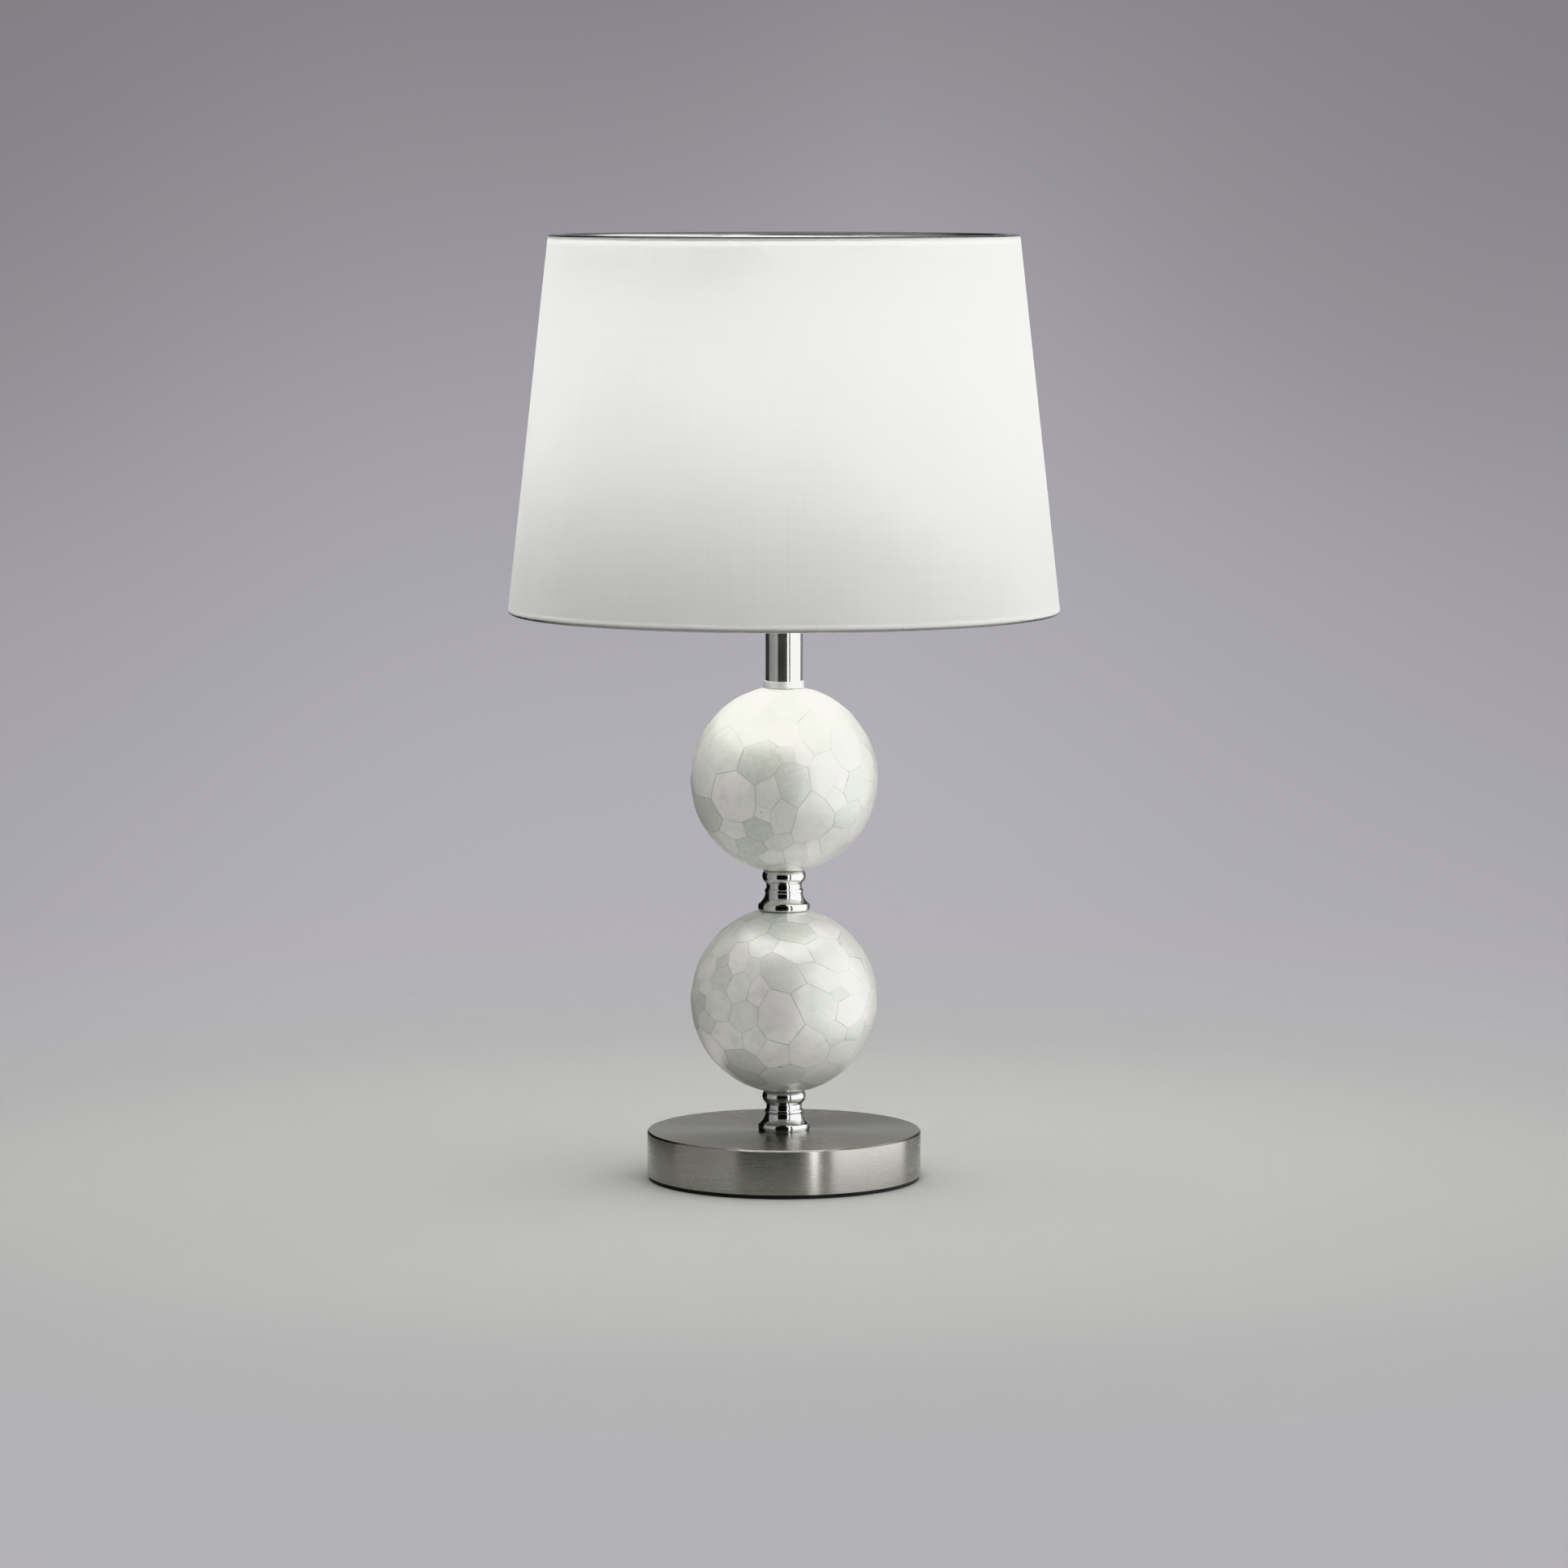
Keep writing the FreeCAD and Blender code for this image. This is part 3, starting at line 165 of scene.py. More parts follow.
# brightness of the room by bearing, in degrees to the right of the camera's side, for what
# mirrors it and for soft light
mirroredLevels = [
    (-180, 0.42), (-170, 0.40), (-164, 0.03), (-107, 0.03), (-101, 0.33), (-72, 0.36), (-50, 0.47),
    (-42, 0.47), (-37, 0.025),
    (10, 0.025), (15, 0.10), (22.5, 0.13), (23.5, 6.0), (27, 6.0), (28.5, 0.14), (39, 0.20),
    (42, 2.15), (118, 2.15), (124, 0.40), (143, 0.36), (147, 0.10), (161, 0.10), (168, 0.42),
    (180, 0.42),
]
softLevels = [
    (-180, 0.40), (-130, 0.84), (-95, 0.84), (-60, 0.36), (-25, 0.10), (20, 0.10), (45, 1.6),
    (125, 1.85), (150, 0.6), (180, 0.40),
]


def bearingRamp(tree, turn, levels):
    stops = [((degrees + 180) / 360, (level,) * 3) for degrees, level in levels]
    return ramp(tree, turn, stops)


def makeWorld():
    world = bpy.data.worlds.new("studio")
    world.use_nodes = True
    world.cycles.sampling_method = "NONE"   # the room differs for gloss and for soft light
    bpy.context.scene.world = world
    tree = world.node_tree
    tree.nodes.clear()
    direction = addNode(tree, "ShaderNodeTexCoord").outputs["Generated"]
    across, along, up = addNode(tree, "ShaderNodeSeparateXYZ", {0: direction}).outputs
    bearing = calc(tree, "ARCTAN2", across, calc(tree, "MULTIPLY", along, -1.0))
    turn = calc(tree, "MULTIPLY_ADD", bearing, 1 / (2 * math.pi), 0.5)
    mirrored = mixColour(tree, smoothStep(tree, up, *studio["mirroredTopFade"]),
                         bearingRamp(tree, turn, mirroredLevels), studio["mirroredTop"])
    soft = mixColour(tree, smoothStep(tree, up, *studio["softTopFade"]),
                     bearingRamp(tree, turn, softLevels), studio["softTop"])
    path = addNode(tree, "ShaderNodeLightPath").outputs
    room = mixColour(tree, path["Is Glossy Ray"], soft, mirrored)
    room = mixColour(tree, smoothStep(tree, up, *studio["belowFade"]), room, studio["below"])
    cloud = noise(tree, direction, studio["cloudScale"], 1.0)
    # darker towards the sides of the picture, alike from each eighth of a turn
    swing = calc(tree, "MULTIPLY_ADD", bearing, studio["vignetteTurns"], studio["vignetteShift"])
    side = calc(tree, "ABSOLUTE", calc(tree, "SINE", swing))
    tilt = calc(tree, "MULTIPLY_ADD", cloud, studio["cloudDepth"], up)
    tilt = calc(tree, "MULTIPLY_ADD", side, studio["vignetteDepth"], tilt)
    backdrop = mixColour(tree, smoothStep(tree, tilt, *studio["backdropFade"]),
                         studio["backdrop"], studio["backdropTop"])
    shown = mixColour(tree, path["Is Camera Ray"], room, backdrop)
    light = addNode(tree, "ShaderNodeBackground", {"Color": shown, "Strength": 1.0})
    addNode(tree, "ShaderNodeOutputWorld", {"Surface": light.outputs[0]})


def makeFloor():
    mesh = bpy.data.meshes.new("floor")
    shape = bmesh.new()
    bmesh.ops.create_circle(shape, cap_ends=True, segments=studio["floorSides"],
                              radius=studio["floorRadius"])
    bmesh.ops.translate(shape, verts=shape.verts, vec=(0, 0, -studio["floorDrop"]))
    shape.to_mesh(mesh)
    shape.free()
    floor = bpy.data.objects.new("floor", mesh)
    bpy.context.scene.collection.objects.link(floor)
    material = bpy.data.materials.new("paleFloor")
    material.use_nodes = True
    tree = material.node_tree
    tree.nodes.clear()
    place = addNode(tree, "ShaderNodeTexCoord").outputs["Object"]
    reach = vectorCalc(tree, "LENGTH", place)
    fade = smoothStep(tree, reach, *studio["floorFade"])
    glossFade = smoothStep(tree, reach, *studio["floorFadeInGloss"])
    path = addNode(tree, "ShaderNodeLightPath").outputs
    fade = calc(tree, "MAXIMUM", fade, calc(tree, "MULTIPLY", glossFade, path["Is Glossy Ray"]))
    hidden = calc(tree, "MAXIMUM", fade, addNode(tree, "ShaderNodeNewGeometry").outputs["Backfacing"])
    hidden = calc(tree, "MAXIMUM", hidden, calc(tree, "LESS_THAN", reach, studio["footprint"]))
    colour = mixColour(tree, path["Is Diffuse Ray"], studio["floorColour"], studio["floorBounce"])
    paint = addNode(tree, "ShaderNodeBsdfDiffuse", {"Color": colour})
    clear = addNode(tree, "ShaderNodeBsdfTransparent")
    both = addNode(tree, "ShaderNodeMixShader", {0: hidden, 1: paint.outputs[0],
                                                 2: clear.outputs[0]})
    addNode(tree, "ShaderNodeOutputMaterial", {"Surface": both.outputs[0]})
    mesh.materials.append(material)


makeWorld()
makeFloor()
bpy.context.scene.view_settings.view_transform = "Khronos PBR Neutral"
print("studio ready")


# finishes

def newFinish(name):
    material = bpy.data.materials.new(name)
    material.use_nodes = True
    tree = material.node_tree
    place = addNode(tree, "ShaderNodeTexCoord").outputs["Object"]
    return material, tree, tree.nodes["Principled BSDF"], place


def toned(tree, factor, colour, spread):
    dark = tuple(c * (1 - spread) for c in colour)
    light = tuple(min(1.0, c * (1 + spread)) for c in colour)
    return mixColour(tree, factor, dark, light)


def bumped(tree, height, strength, distance):
    return addNode(tree, "ShaderNodeBump", {"Height": height, "Strength": strength,
                                            "Distance": distance}).outputs[0]


def letLightThrough(tree, shader, colour, share):
    glow = addNode(tree, "ShaderNodeBsdfTranslucent", {"Color": colour})
    both = addNode(tree, "ShaderNodeMixShader", {0: share, 1: shader.outputs[0],
                                                 2: glow.outputs[0]})
    feed(tree, tree.nodes["Material Output"], {"Surface": both.outputs[0]})


def plainFinish(name, colour, roughness, metallic=0.0, grain=900.0, bump=0.2, patches=0.06,
                patchScale=60.0, bumpMm=0.05, roughSpread=0.12):
    # moulded, painted or cast surfaces: soft patches of tone and gloss over a fine grain
    material, tree, shader, place = newFinish(name)
    patch = noise(tree, place, patchScale, 4.0)
    fine = noise(tree, place, grain, 2.0)
    feed(tree, shader, {
        "Metallic": metallic,
        "Base Color": toned(tree, patch, colour, patches),
        "Roughness": calc(tree, "MULTIPLY_ADD", patch, roughSpread, roughness - roughSpread / 2),
        "Normal": bumped(tree, fine, bump, bumpMm * mm)})
    return material


turning = {
    "stretch": 0.0012,              # metres of pattern to a radian, so the lines run round
    "lineBump": 0.5,
    "smudgeScale": 45.0,
    "toneSpread": 0.07,
    "anisotropyTurn": 0.25,         # of a full turn
}


def turnedMetal(name, colour, roughness, anisotropy, lineScale, lineDepthMm, smudge, metallic=1.0):
    # metal worked on a lathe: fine rings round the lamp's axis, on flat and on round faces
    material, tree, shader, place = newFinish(name)
    split = addNode(tree, "ShaderNodeSeparateXYZ", {0: place}).outputs
    radius = axisDistance(tree, place)
    bearing = calc(tree, "MULTIPLY", calc(tree, "ARCTAN2", split[1], split[0]), turning["stretch"])
    rings = addNode(tree, "ShaderNodeCombineXYZ", {0: radius, 1: bearing, 2: split[2]}).outputs[0]
    lines = noise(tree, rings, lineScale, 3.0, Roughness=0.65)
    cloud = noise(tree, place, turning["smudgeScale"], 5.0)
    spread = calc(tree, "MULTIPLY_ADD", calc(tree, "SUBTRACT", cloud, 0.5), smudge, roughness)
    spread = calc(tree, "MULTIPLY_ADD", calc(tree, "SUBTRACT", lines, 0.5), smudge, spread)
    tangent = addNode(tree, "ShaderNodeTangent", direction_type="RADIAL", axis="Z")
    feed(tree, shader, {
        "Metallic": metallic,
        "Base Color": toned(tree, lines, colour, turning["toneSpread"]),
        "Roughness": spread,
        "Anisotropic": anisotropy,
        "Anisotropic Rotation": turning["anisotropyTurn"],
        "Tangent": tangent.outputs[0],
        "Normal": bumped(tree, lines, turning["lineBump"], lineDepthMm * mm)})
    return material


# one finish for each material slot of the record, and a few more for single pieces
finishes = {
    "black_foam": plainFinish("blackFoam", (0.06, 0.06, 0.062), 0.85, grain=1500, bump=1.0,
                              patches=0.35, patchScale=900.0, bumpMm=0.25),
    "black_steel": plainFinish("blackPowderCoat", (0.03, 0.03, 0.03), 0.55, grain=1800, bump=0.6),
    "zinc_steel": plainFinish("zincPlate", (0.62, 0.62, 0.60), 0.30, metallic=1.0),
    "brushed_nickel": turnedMetal("brushedNickel", (0.44, 0.43, 0.405), 0.27, 0.85, 2600.0,
                                  0.0025, 0.06),
    "cast_weight": plainFinish("castIron", (0.10, 0.10, 0.105), 0.7, metallic=0.6),
    "black_rubber": plainFinish("blackRubber", (0.025, 0.025, 0.025), 0.6),
    "black_plastic": plainFinish("blackPlastic", (0.03, 0.03, 0.03), 0.4),
    "polished_chrome": turnedMetal("polishedChrome", (0.74, 0.745, 0.74), 0.10, 0.3, 1500.0,
                                   0.0008, 0.07),
    "satin_neck": turnedMetal("satinNeck", (0.63, 0.635, 0.625), 0.14, 0.3, 1500.0,
                              0.001, 0.07, 0.93),
    "satin_ring": turnedMetal("satinRing", (0.78, 0.78, 0.77), 0.32, 0.2, 1500.0,
                              0.001, 0.06, 0.55),
    "edge_tape": turnedMetal("edgeTape", (0.50, 0.495, 0.48), 0.28, 0.2, 1800.0, 0.002, 0.1),
    "cast_resin": plainFinish("castResin", (0.72, 0.68, 0.58), 0.5),
    "capiz_shell": plainFinish("shellChips", (0.72, 0.73, 0.69), 0.32),
    "white_holder_plastic": plainFinish("holderPlastic", (0.82, 0.82, 0.79), 0.38),
    "white_ceramic": plainFinish("steatite", (0.80, 0.78, 0.72), 0.6),
    "contact_brass": plainFinish("contactBrass", (0.72, 0.55, 0.25), 0.3, metallic=1.0),
    "white_enamel": plainFinish("whiteEnamel", (0.83, 0.83, 0.80), 0.35),
    "shade_cloth": plainFinish("shadeCloth", (0.84, 0.84, 0.81), 0.8),
    "lining_film": plainFinish("liningFilm", (0.88, 0.88, 0.86), 0.5),
    "bulb_nickel": plainFinish("bulbNickel", (0.66, 0.65, 0.62), 0.28, metallic=1.0),
    "white_bulb_plastic": plainFinish("bulbPlastic", (0.85, 0.85, 0.85), 0.3),
    "board_aluminium": plainFinish("boardAluminium", (0.75, 0.75, 0.75), 0.4, metallic=1.0),
    "board_laminate": plainFinish("boardLaminate", (0.06, 0.22, 0.10), 0.4),
    "opal_plastic": plainFinish("opalPlastic", (0.93, 0.92, 0.90), 0.4),
}

for part in frame["record"]["subparts"]:
    node = frame["nodes"][part["node"]]
    for slot in node.material_slots:
        slot.material = finishes[part["material_slot"]]
frame["nodes"]["neck_tube"].material_slots[0].material = finishes["satin_neck"]
frame["nodes"]["neck_ring"].material_slots[0].material = finishes["satin_ring"]
print("finishes on", len(frame["nodes"]), "nodes")


# mesh and geometry-tree helpers

def arcPoints(centre, radius, fromDegrees, toDegrees, steps):
    turns = [math.radians(fromDegrees + (toDegrees - fromDegrees) * i / steps)
             for i in range(steps + 1)]
    return [(centre[0] + radius * math.cos(turn), centre[1] + radius * math.sin(turn))
            for turn in turns]


def smoothMesh(mesh, sharpDegrees):
    mesh.shade_smooth()
    mesh.set_sharp_from_angle(angle=math.radians(sharpDegrees))


def turnOutline(name, outline, steps, sharpDegrees=38):
    # turns a closed outline of (radius, height) in metres about the lamp's axis
    shape = bmesh.new()
    uv = shape.loops.layers.uv.new("UVMap")
    rings = []
    for step in range(steps):
        turn = 2 * math.pi * step / steps
        rings.append([shape.verts.new((r * math.cos(turn), r * math.sin(turn), z))
                      for r, z in outline])
    count = len(outline)
    along = [0.0]
    for i in range(count):
        along.append(along[-1] + math.dist(outline[i], outline[(i + 1) % count]))
    around = 2 * math.pi * max(r for r, z in outline)
    for step in range(steps):
        here, there = rings[step], rings[(step + 1) % steps]
        for i in range(count):
            j = (i + 1) % count
            face = shape.faces.new((here[i], there[i], there[j], here[j]))
            corners = ((step, i), (step + 1, i), (step + 1, i + 1), (step, i + 1))
            for loop, (a, b) in zip(face.loops, corners):
                loop[uv].uv = (around * a / steps, along[b])
    bmesh.ops.remove_doubles(shape, verts=shape.verts, dist=1e-7)
    bmesh.ops.recalc_face_normals(shape, faces=shape.faces)
    mesh = bpy.data.meshes.new(name)
    shape.to_mesh(mesh)
    shape.free()
    smoothMesh(mesh, sharpDegrees)
    return mesh


def newPiece(name, mesh, finish):
    piece = bpy.data.objects.new(name, mesh)
    bpy.context.scene.collection.objects.link(piece)
    mesh.materials.clear()
    mesh.materials.append(finish)
    return piece


def fitPiece(piece, body, slot, *replaced):
    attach(piece, body)
    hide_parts(*replaced)


def newGeometryTree(name, sockets):
    tree = bpy.data.node_groups.new(name, "GeometryNodeTree")
    tree.is_modifier = True
    tree.interface.new_socket("Geometry", in_out="INPUT", socket_type="NodeSocketGeometry")
    for label, kind in sockets.items():
        tree.interface.new_socket(label, in_out="INPUT", socket_type="NodeSocket" + kind)
    tree.interface.new_socket("Geometry", in_out="OUTPUT", socket_type="NodeSocketGeometry")
    return tree, tree.nodes.new("NodeGroupInput").outputs


def endGeometryTree(tree, geometry, finish):
    real = addNode(tree, "GeometryNodeRealizeInstances", {0: geometry}).outputs[0]
    dressed = addNode(tree, "GeometryNodeSetMaterial", {"Geometry": real, "Material": finish})
    addNode(tree, "NodeGroupOutput", {"Geometry": dressed.outputs[0]})


def runTree(piece, tree, values):
    modifier = piece.modifiers.new(tree.name, "NODES")
    modifier.node_group = tree
    for item in tree.interface.items_tree:
        if item.item_type == "SOCKET" and item.in_out == "INPUT" and item.name in values:
            modifier[item.identifier] = values[item.name]
    graph = bpy.context.evaluated_depsgraph_get()
    made = bpy.data.meshes.new_from_object(piece.evaluated_get(graph), depsgraph=graph)
    piece.modifiers.clear()
    piece.data = made


# the two balls: flat chips of shell laid over a round core, with lacquer between them

ballSizes = {
    "skinRadius": 51.1 * mm,
    "chipThickness": 1.0 * mm,
    "groutDepth": 0.55 * mm,        # the lacquer stands this far under the chips
    "poleHoleRadius": 8.0 * mm,
    "chipSpacing": 8.6 * mm,
    "chipDensity": 6400.0,          # trial places for chips, to the square metre
    "chipJoint": 0.006,             # share of a chip's width that its joints take
    "chipFlatness": 0.45,           # 0 follows the ball, 1 is quite flat
    "chipTilt": 0.03,
    "chipDetail": 3,
    "trialDetail": 5,               # of the ball that the chips' places are tried on
    "edgeReach": 0.75,              # from a chip's middle to its edge, to the spacing
    "widestChip": 0.9,              # cosine of the widest angle from a chip's middle
    "jointSpread": (0.6, 2.2),      # narrowest and widest joint, to the usual one
    "toneSpread": (0.12, 1.0),      # under the lowest tone there is only lacquer
    "turnSpread": (0.0, 6.28),      # of the grain, in radians
    "drawSeeds": {"tone": 3, "turn": 5, "lean": 7, "joint": 12},
    "mergeDistance": 0.002 * mm,
    "groutRows": 90,
    "steps": 180,
    "seeds": {"lower": 4, "upper": 11},
}


def makeChipTree(centre):
    tree, given = newGeometryTree("layShellChips", {
        "Spacing": "Float", "Seed": "Int", "Joint": "Float", "Flatness": "Float",
        "Tilt": "Float", "Finish": "Material"})
    radius = ballSizes["skinRadius"]
    core = radius - ballSizes["chipThickness"]
    draws = ballSizes["drawSeeds"]

    def placeAt(geometry, distance, selection=None):
        place = addNode(tree, "GeometryNodeInputPosition").outputs[0]
        direction = vectorCalc(tree, "NORMALIZE", vectorCalc(tree, "SUBTRACT", place, centre))
        spot = vectorCalc(tree, "ADD", scaled(tree, direction, distance), centre)
        inputs = {"Geometry": geometry, "Position": spot}
        if selection is not None:
            inputs["Selection"] = selection
        return addNode(tree, "GeometryNodeSetPosition", inputs).outputs[0], direction

    def keep(geometry, name, kind, value):
        stored = addNode(tree, "GeometryNodeStoreNamedAttribute",
                         {"Geometry": geometry, "Name": name}, data_type=kind, domain="FACE")
        socket = [s for s in stored.inputs if s.name == "Value" and s.enabled][0]
        tree.links.new(value, socket)
        return stored.outputs[0]

    def chance(low, high, seed):    # another random number for each chip
        made = addNode(tree, "FunctionNodeRandomValue", {"Seed": seed}, data_type="FLOAT")
        made.inputs[2].default_value = low
        made.inputs[3].default_value = high
        return made.outputs[1]

    ball = addNode(tree, "GeometryNodeMeshIcoSphere", {"Radius": radius,
                                                       "Subdivisions": ballSizes["trialDetail"]
                                                       }).outputs[0]
    spots = addNode(tree, "GeometryNodeDistributePointsOnFaces",
                    {"Mesh": ball, "Distance Min": given["Spacing"],
                     "Density Max": ballSizes["chipDensity"], "Seed": given["Seed"]},
                    distribute_method="POISSON").outputs["Points"]
    hull = addNode(tree, "GeometryNodeConvexHull", {0: spots}).outputs[0]
    chips = addNode(tree, "GeometryNodeDualMesh", {0: hull}).outputs[0]
    chips = addNode(tree, "GeometryNodeTransform", {"Geometry": chips,
                                                    "Translation": centre}).outputs[0]
    chips = placeAt(chips, core)[0]
    chips = addNode(tree, "GeometryNodeSplitEdges", {"Mesh": chips}).outputs[0]
    chips = keep(chips, "chipTone", "FLOAT", chance(*ballSizes["toneSpread"], draws["tone"]))
    chips = keep(chips, "chipTurn", "FLOAT", chance(*ballSizes["turnSpread"], draws["turn"]))
    chips = keep(chips, "chipLean", "FLOAT_VECTOR", addNode(
        tree, "ShaderNodeCombineXYZ",
        {i: chance(-1.0, 1.0, draws["lean"] + i) for i in range(3)}).outputs[0])
    chips = keep(chips, "chipMiddle", "FLOAT_VECTOR",
                 addNode(tree, "GeometryNodeInputPosition").outputs[0])
    joint = calc(tree, "MULTIPLY", given["Joint"],
                 chance(*ballSizes["jointSpread"], draws["joint"]))
    width = calc(tree, "SUBTRACT", 1.0, joint)
    chips = addNode(tree, "GeometryNodeScaleElements", {"Geometry": chips,
                                                        "Scale": width}).outputs[0]
    chips = addNode(tree, "GeometryNodeSubdivideMesh", {0: chips,
                                                        1: ballSizes["chipDetail"]}).outputs[0]
    chips = placeAt(chips, core)[0]
    across = axisDistance(tree, addNode(tree, "GeometryNodeInputPosition").outputs[0])
    chips = addNode(tree, "GeometryNodeDeleteGeometry", {
        0: chips, 1: calc(tree, "LESS_THAN", across, ballSizes["poleHoleRadius"])},
        domain="FACE").outputs[0]
    under = addNode(tree, "GeometryNodeFlipFaces", {0: chips}).outputs[0]
    raised = addNode(tree, "GeometryNodeExtrudeMesh",
                     {"Mesh": chips, "Offset Scale": ballSizes["chipThickness"],
                      "Individual": False})
    middle, lean = (addNode(tree, "GeometryNodeInputNamedAttribute", {"Name": name},
                            data_type="FLOAT_VECTOR").outputs[0]
                    for name in ("chipMiddle", "chipLean"))
    # a flat top lies under the ball away from the chip's middle, and level with it at its edge
    facing = vectorCalc(tree, "NORMALIZE", vectorCalc(tree, "SUBTRACT", middle, centre))
    place = addNode(tree, "GeometryNodeInputPosition").outputs[0]
    direction = vectorCalc(tree, "NORMALIZE", vectorCalc(tree, "SUBTRACT", place, centre))
    cosine = calc(tree, "MAXIMUM", vectorCalc(tree, "DOT_PRODUCT", direction, facing),
                  ballSizes["widestChip"])
    edge = 1.0 / math.cos(ballSizes["edgeReach"] * ballSizes["chipSpacing"] / radius) - 1.0
    rise = calc(tree, "SUBTRACT", calc(tree, "DIVIDE", 1.0, cosine), 1.0 + edge)
    drop = calc(tree, "MULTIPLY", rise, given["Flatness"])
    away = vectorCalc(tree, "SUBTRACT", direction, facing)
    drop = calc(tree, "MULTIPLY_ADD", vectorCalc(tree, "DOT_PRODUCT", away, lean),
                given["Tilt"], drop)
    level = calc(tree, "MULTIPLY_ADD", calc(tree, "MINIMUM", drop, 0.0), radius, radius)
    raisedChips = placeAt(raised.outputs["Mesh"], level, raised.outputs["Top"])[0]
    joined = addNode(tree, "GeometryNodeJoinGeometry")
    for part in (given["Geometry"], raisedChips, under):
        tree.links.new(part, joined.inputs[0])
    whole = addNode(tree, "GeometryNodeMergeByDistance", {"Geometry": joined.outputs[0],
                                                          "Distance": ballSizes["mergeDistance"]
                                                          }).outputs[0]
    endGeometryTree(tree, whole, given["Finish"])
    return tree


chipLook = {
    "tones": [(0.0, (0.74, 0.75, 0.71)), (0.12, (0.60, 0.63, 0.57)), (0.4, (0.74, 0.76, 0.71)),
              (0.75, (0.82, 0.82, 0.79)), (1.0, (0.88, 0.85, 0.84))],
    "grainStretch": (1.0, 0.3, 1.0),
    "grainScale": 520.0,
    "grainDistortion": 0.8,
    "grainFade": (0.35, 0.8),
    "grainTint": (0.90, 0.91, 0.87),
    "grainShare": 0.4,
    "cloudScale": 110.0,
    "cloudDistortion": 0.5,
    "cloudFade": (0.40, 0.75),
    "cloudTint": (0.66, 0.69, 0.63),
    "cloudShare": 0.45,
    "roughness": 0.22,              # at its glossiest, and how much duller it gets
    "pearl": 0.18,
    "lacquer": 0.35,
    "lacquerRoughness": 0.20,
    "grainBump": 0.25,
    "grainDepth": 0.03 * mm,
}


def makeChipFinish():
    material, tree, shader, place = newFinish("shellChips")
    tone, turn, middle = (addNode(tree, "ShaderNodeAttribute", attribute_name=name)
                          for name in ("chipTone", "chipTurn", "chipMiddle"))
    tint = ramp(tree, tone.outputs["Fac"], chipLook["tones"])
    local = vectorCalc(tree, "SUBTRACT", place, middle.outputs["Vector"])
    axis = vectorCalc(tree, "NORMALIZE", middle.outputs["Vector"])
    turned = addNode(tree, "ShaderNodeVectorRotate",
                     {"Vector": local, "Axis": axis, "Angle": turn.outputs["Fac"]},
                     rotation_type="AXIS_ANGLE").outputs[0]
    stretched = vectorCalc(tree, "MULTIPLY", turned, chipLook["grainStretch"])
    grain = noise(tree, stretched, chipLook["grainScale"], 4.0,
                  Distortion=chipLook["grainDistortion"])
    cloud = noise(tree, place, chipLook["cloudScale"], 3.0, Distortion=chipLook["cloudDistortion"])
    for field, name in ((grain, "grain"), (cloud, "cloud")):
        share = smoothStep(tree, field, *chipLook[name + "Fade"], 0.0, chipLook[name + "Share"])
        tint = mixColour(tree, share, tint, chipLook[name + "Tint"])
    feed(tree, shader, {
        "Base Color": tint,
        "Roughness": calc(tree, "MULTIPLY_ADD", cloud, chipLook["roughness"],
                          chipLook["roughness"]),
        "Metallic": chipLook["pearl"],
        "Coat Weight": chipLook["lacquer"],
        "Coat Roughness": chipLook["lacquerRoughness"],
        "Normal": bumped(tree, grain, chipLook["grainBump"], chipLook["grainDepth"])})
    return material


def makeBall(which, finish):
    low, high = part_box(f"{which}_ball_shell")
    middle = (low.z + high.z) / 2
    outer = ballSizes["skinRadius"] - ballSizes["groutDepth"]
    inner = ballSizes["skinRadius"] - ballSizes["chipThickness"]
    outline = []
    for radius, upward in ((outer, 1), (inner, -1)):
        end = math.degrees(math.acos(ballSizes["poleHoleRadius"] / radius)) * upward
        outline += arcPoints((0.0, middle), radius, -end, end, ballSizes["groutRows"])
    mesh = turnOutline(f"{which}BallSkin", outline, ballSizes["steps"])
    piece = newPiece(f"{which}BallSkin", mesh, finish)
    runTree(piece, makeChipTree((0.0, 0.0, middle)),
            {"Spacing": ballSizes["chipSpacing"], "Seed": ballSizes["seeds"][which],
             "Joint": ballSizes["chipJoint"], "Flatness": ballSizes["chipFlatness"],
             "Tilt": ballSizes["chipTilt"], "Finish": finish})
    smoothMesh(piece.data, 30)
    fitPiece(piece, "lamp", "capiz_shell", f"{which}_ball_shell")
    return len(piece.data.polygons)


chipFinish = makeChipFinish()
chipFaces = [makeBall(which, chipFinish) for which in ("lower", "upper")]
print("balls covered in chips, faces:", chipFaces)


# shade: one piece of cloth, turned over a wire ring at each end and glued to its lining

shadeSizes = {
    "clothThickness": 0.5 * mm,
    "rollRadius": 1.95 * mm,        # middle of the cloth round the ring's wire
    "rollTurn": 180,                # degrees that the cloth goes round the wire
    "trimTurns": (32, 185),         # the edge tape's reach round the roll
    "trimThickness": 0.22 * mm,
    "rollSteps": 14,
    "trimSteps": 18,
    "rows": 44,
    "steps": 288,
    "seamWidth": 9.0 * mm,
    "seamProud": 0.35 * mm,
    "threadPitch": 0.52 * mm,
    "liningGap": 2.2 * mm,          # from a ring to the lining's end, where glue dims the cloth
    "clothGlow": (0.34, 0.58),      # share of light let through, on the glue and elsewhere
}


def shadeFrame():
    # centres of the two wire rings, and the wall's direction and outward side
    bottomLow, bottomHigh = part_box("shade_bottom_ring")
    topLow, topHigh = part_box("shade_top_ring")
    wire = (bottomHigh.z - bottomLow.z) / 2
    bottom = Vector((bottomHigh.x - wire, bottomLow.z + wire))
    top = Vector((topHigh.x - wire, topLow.z + wire))
    up = (top - bottom).normalized()
    out = Vector((up.y, -up.x))
    return bottom, top, up, out


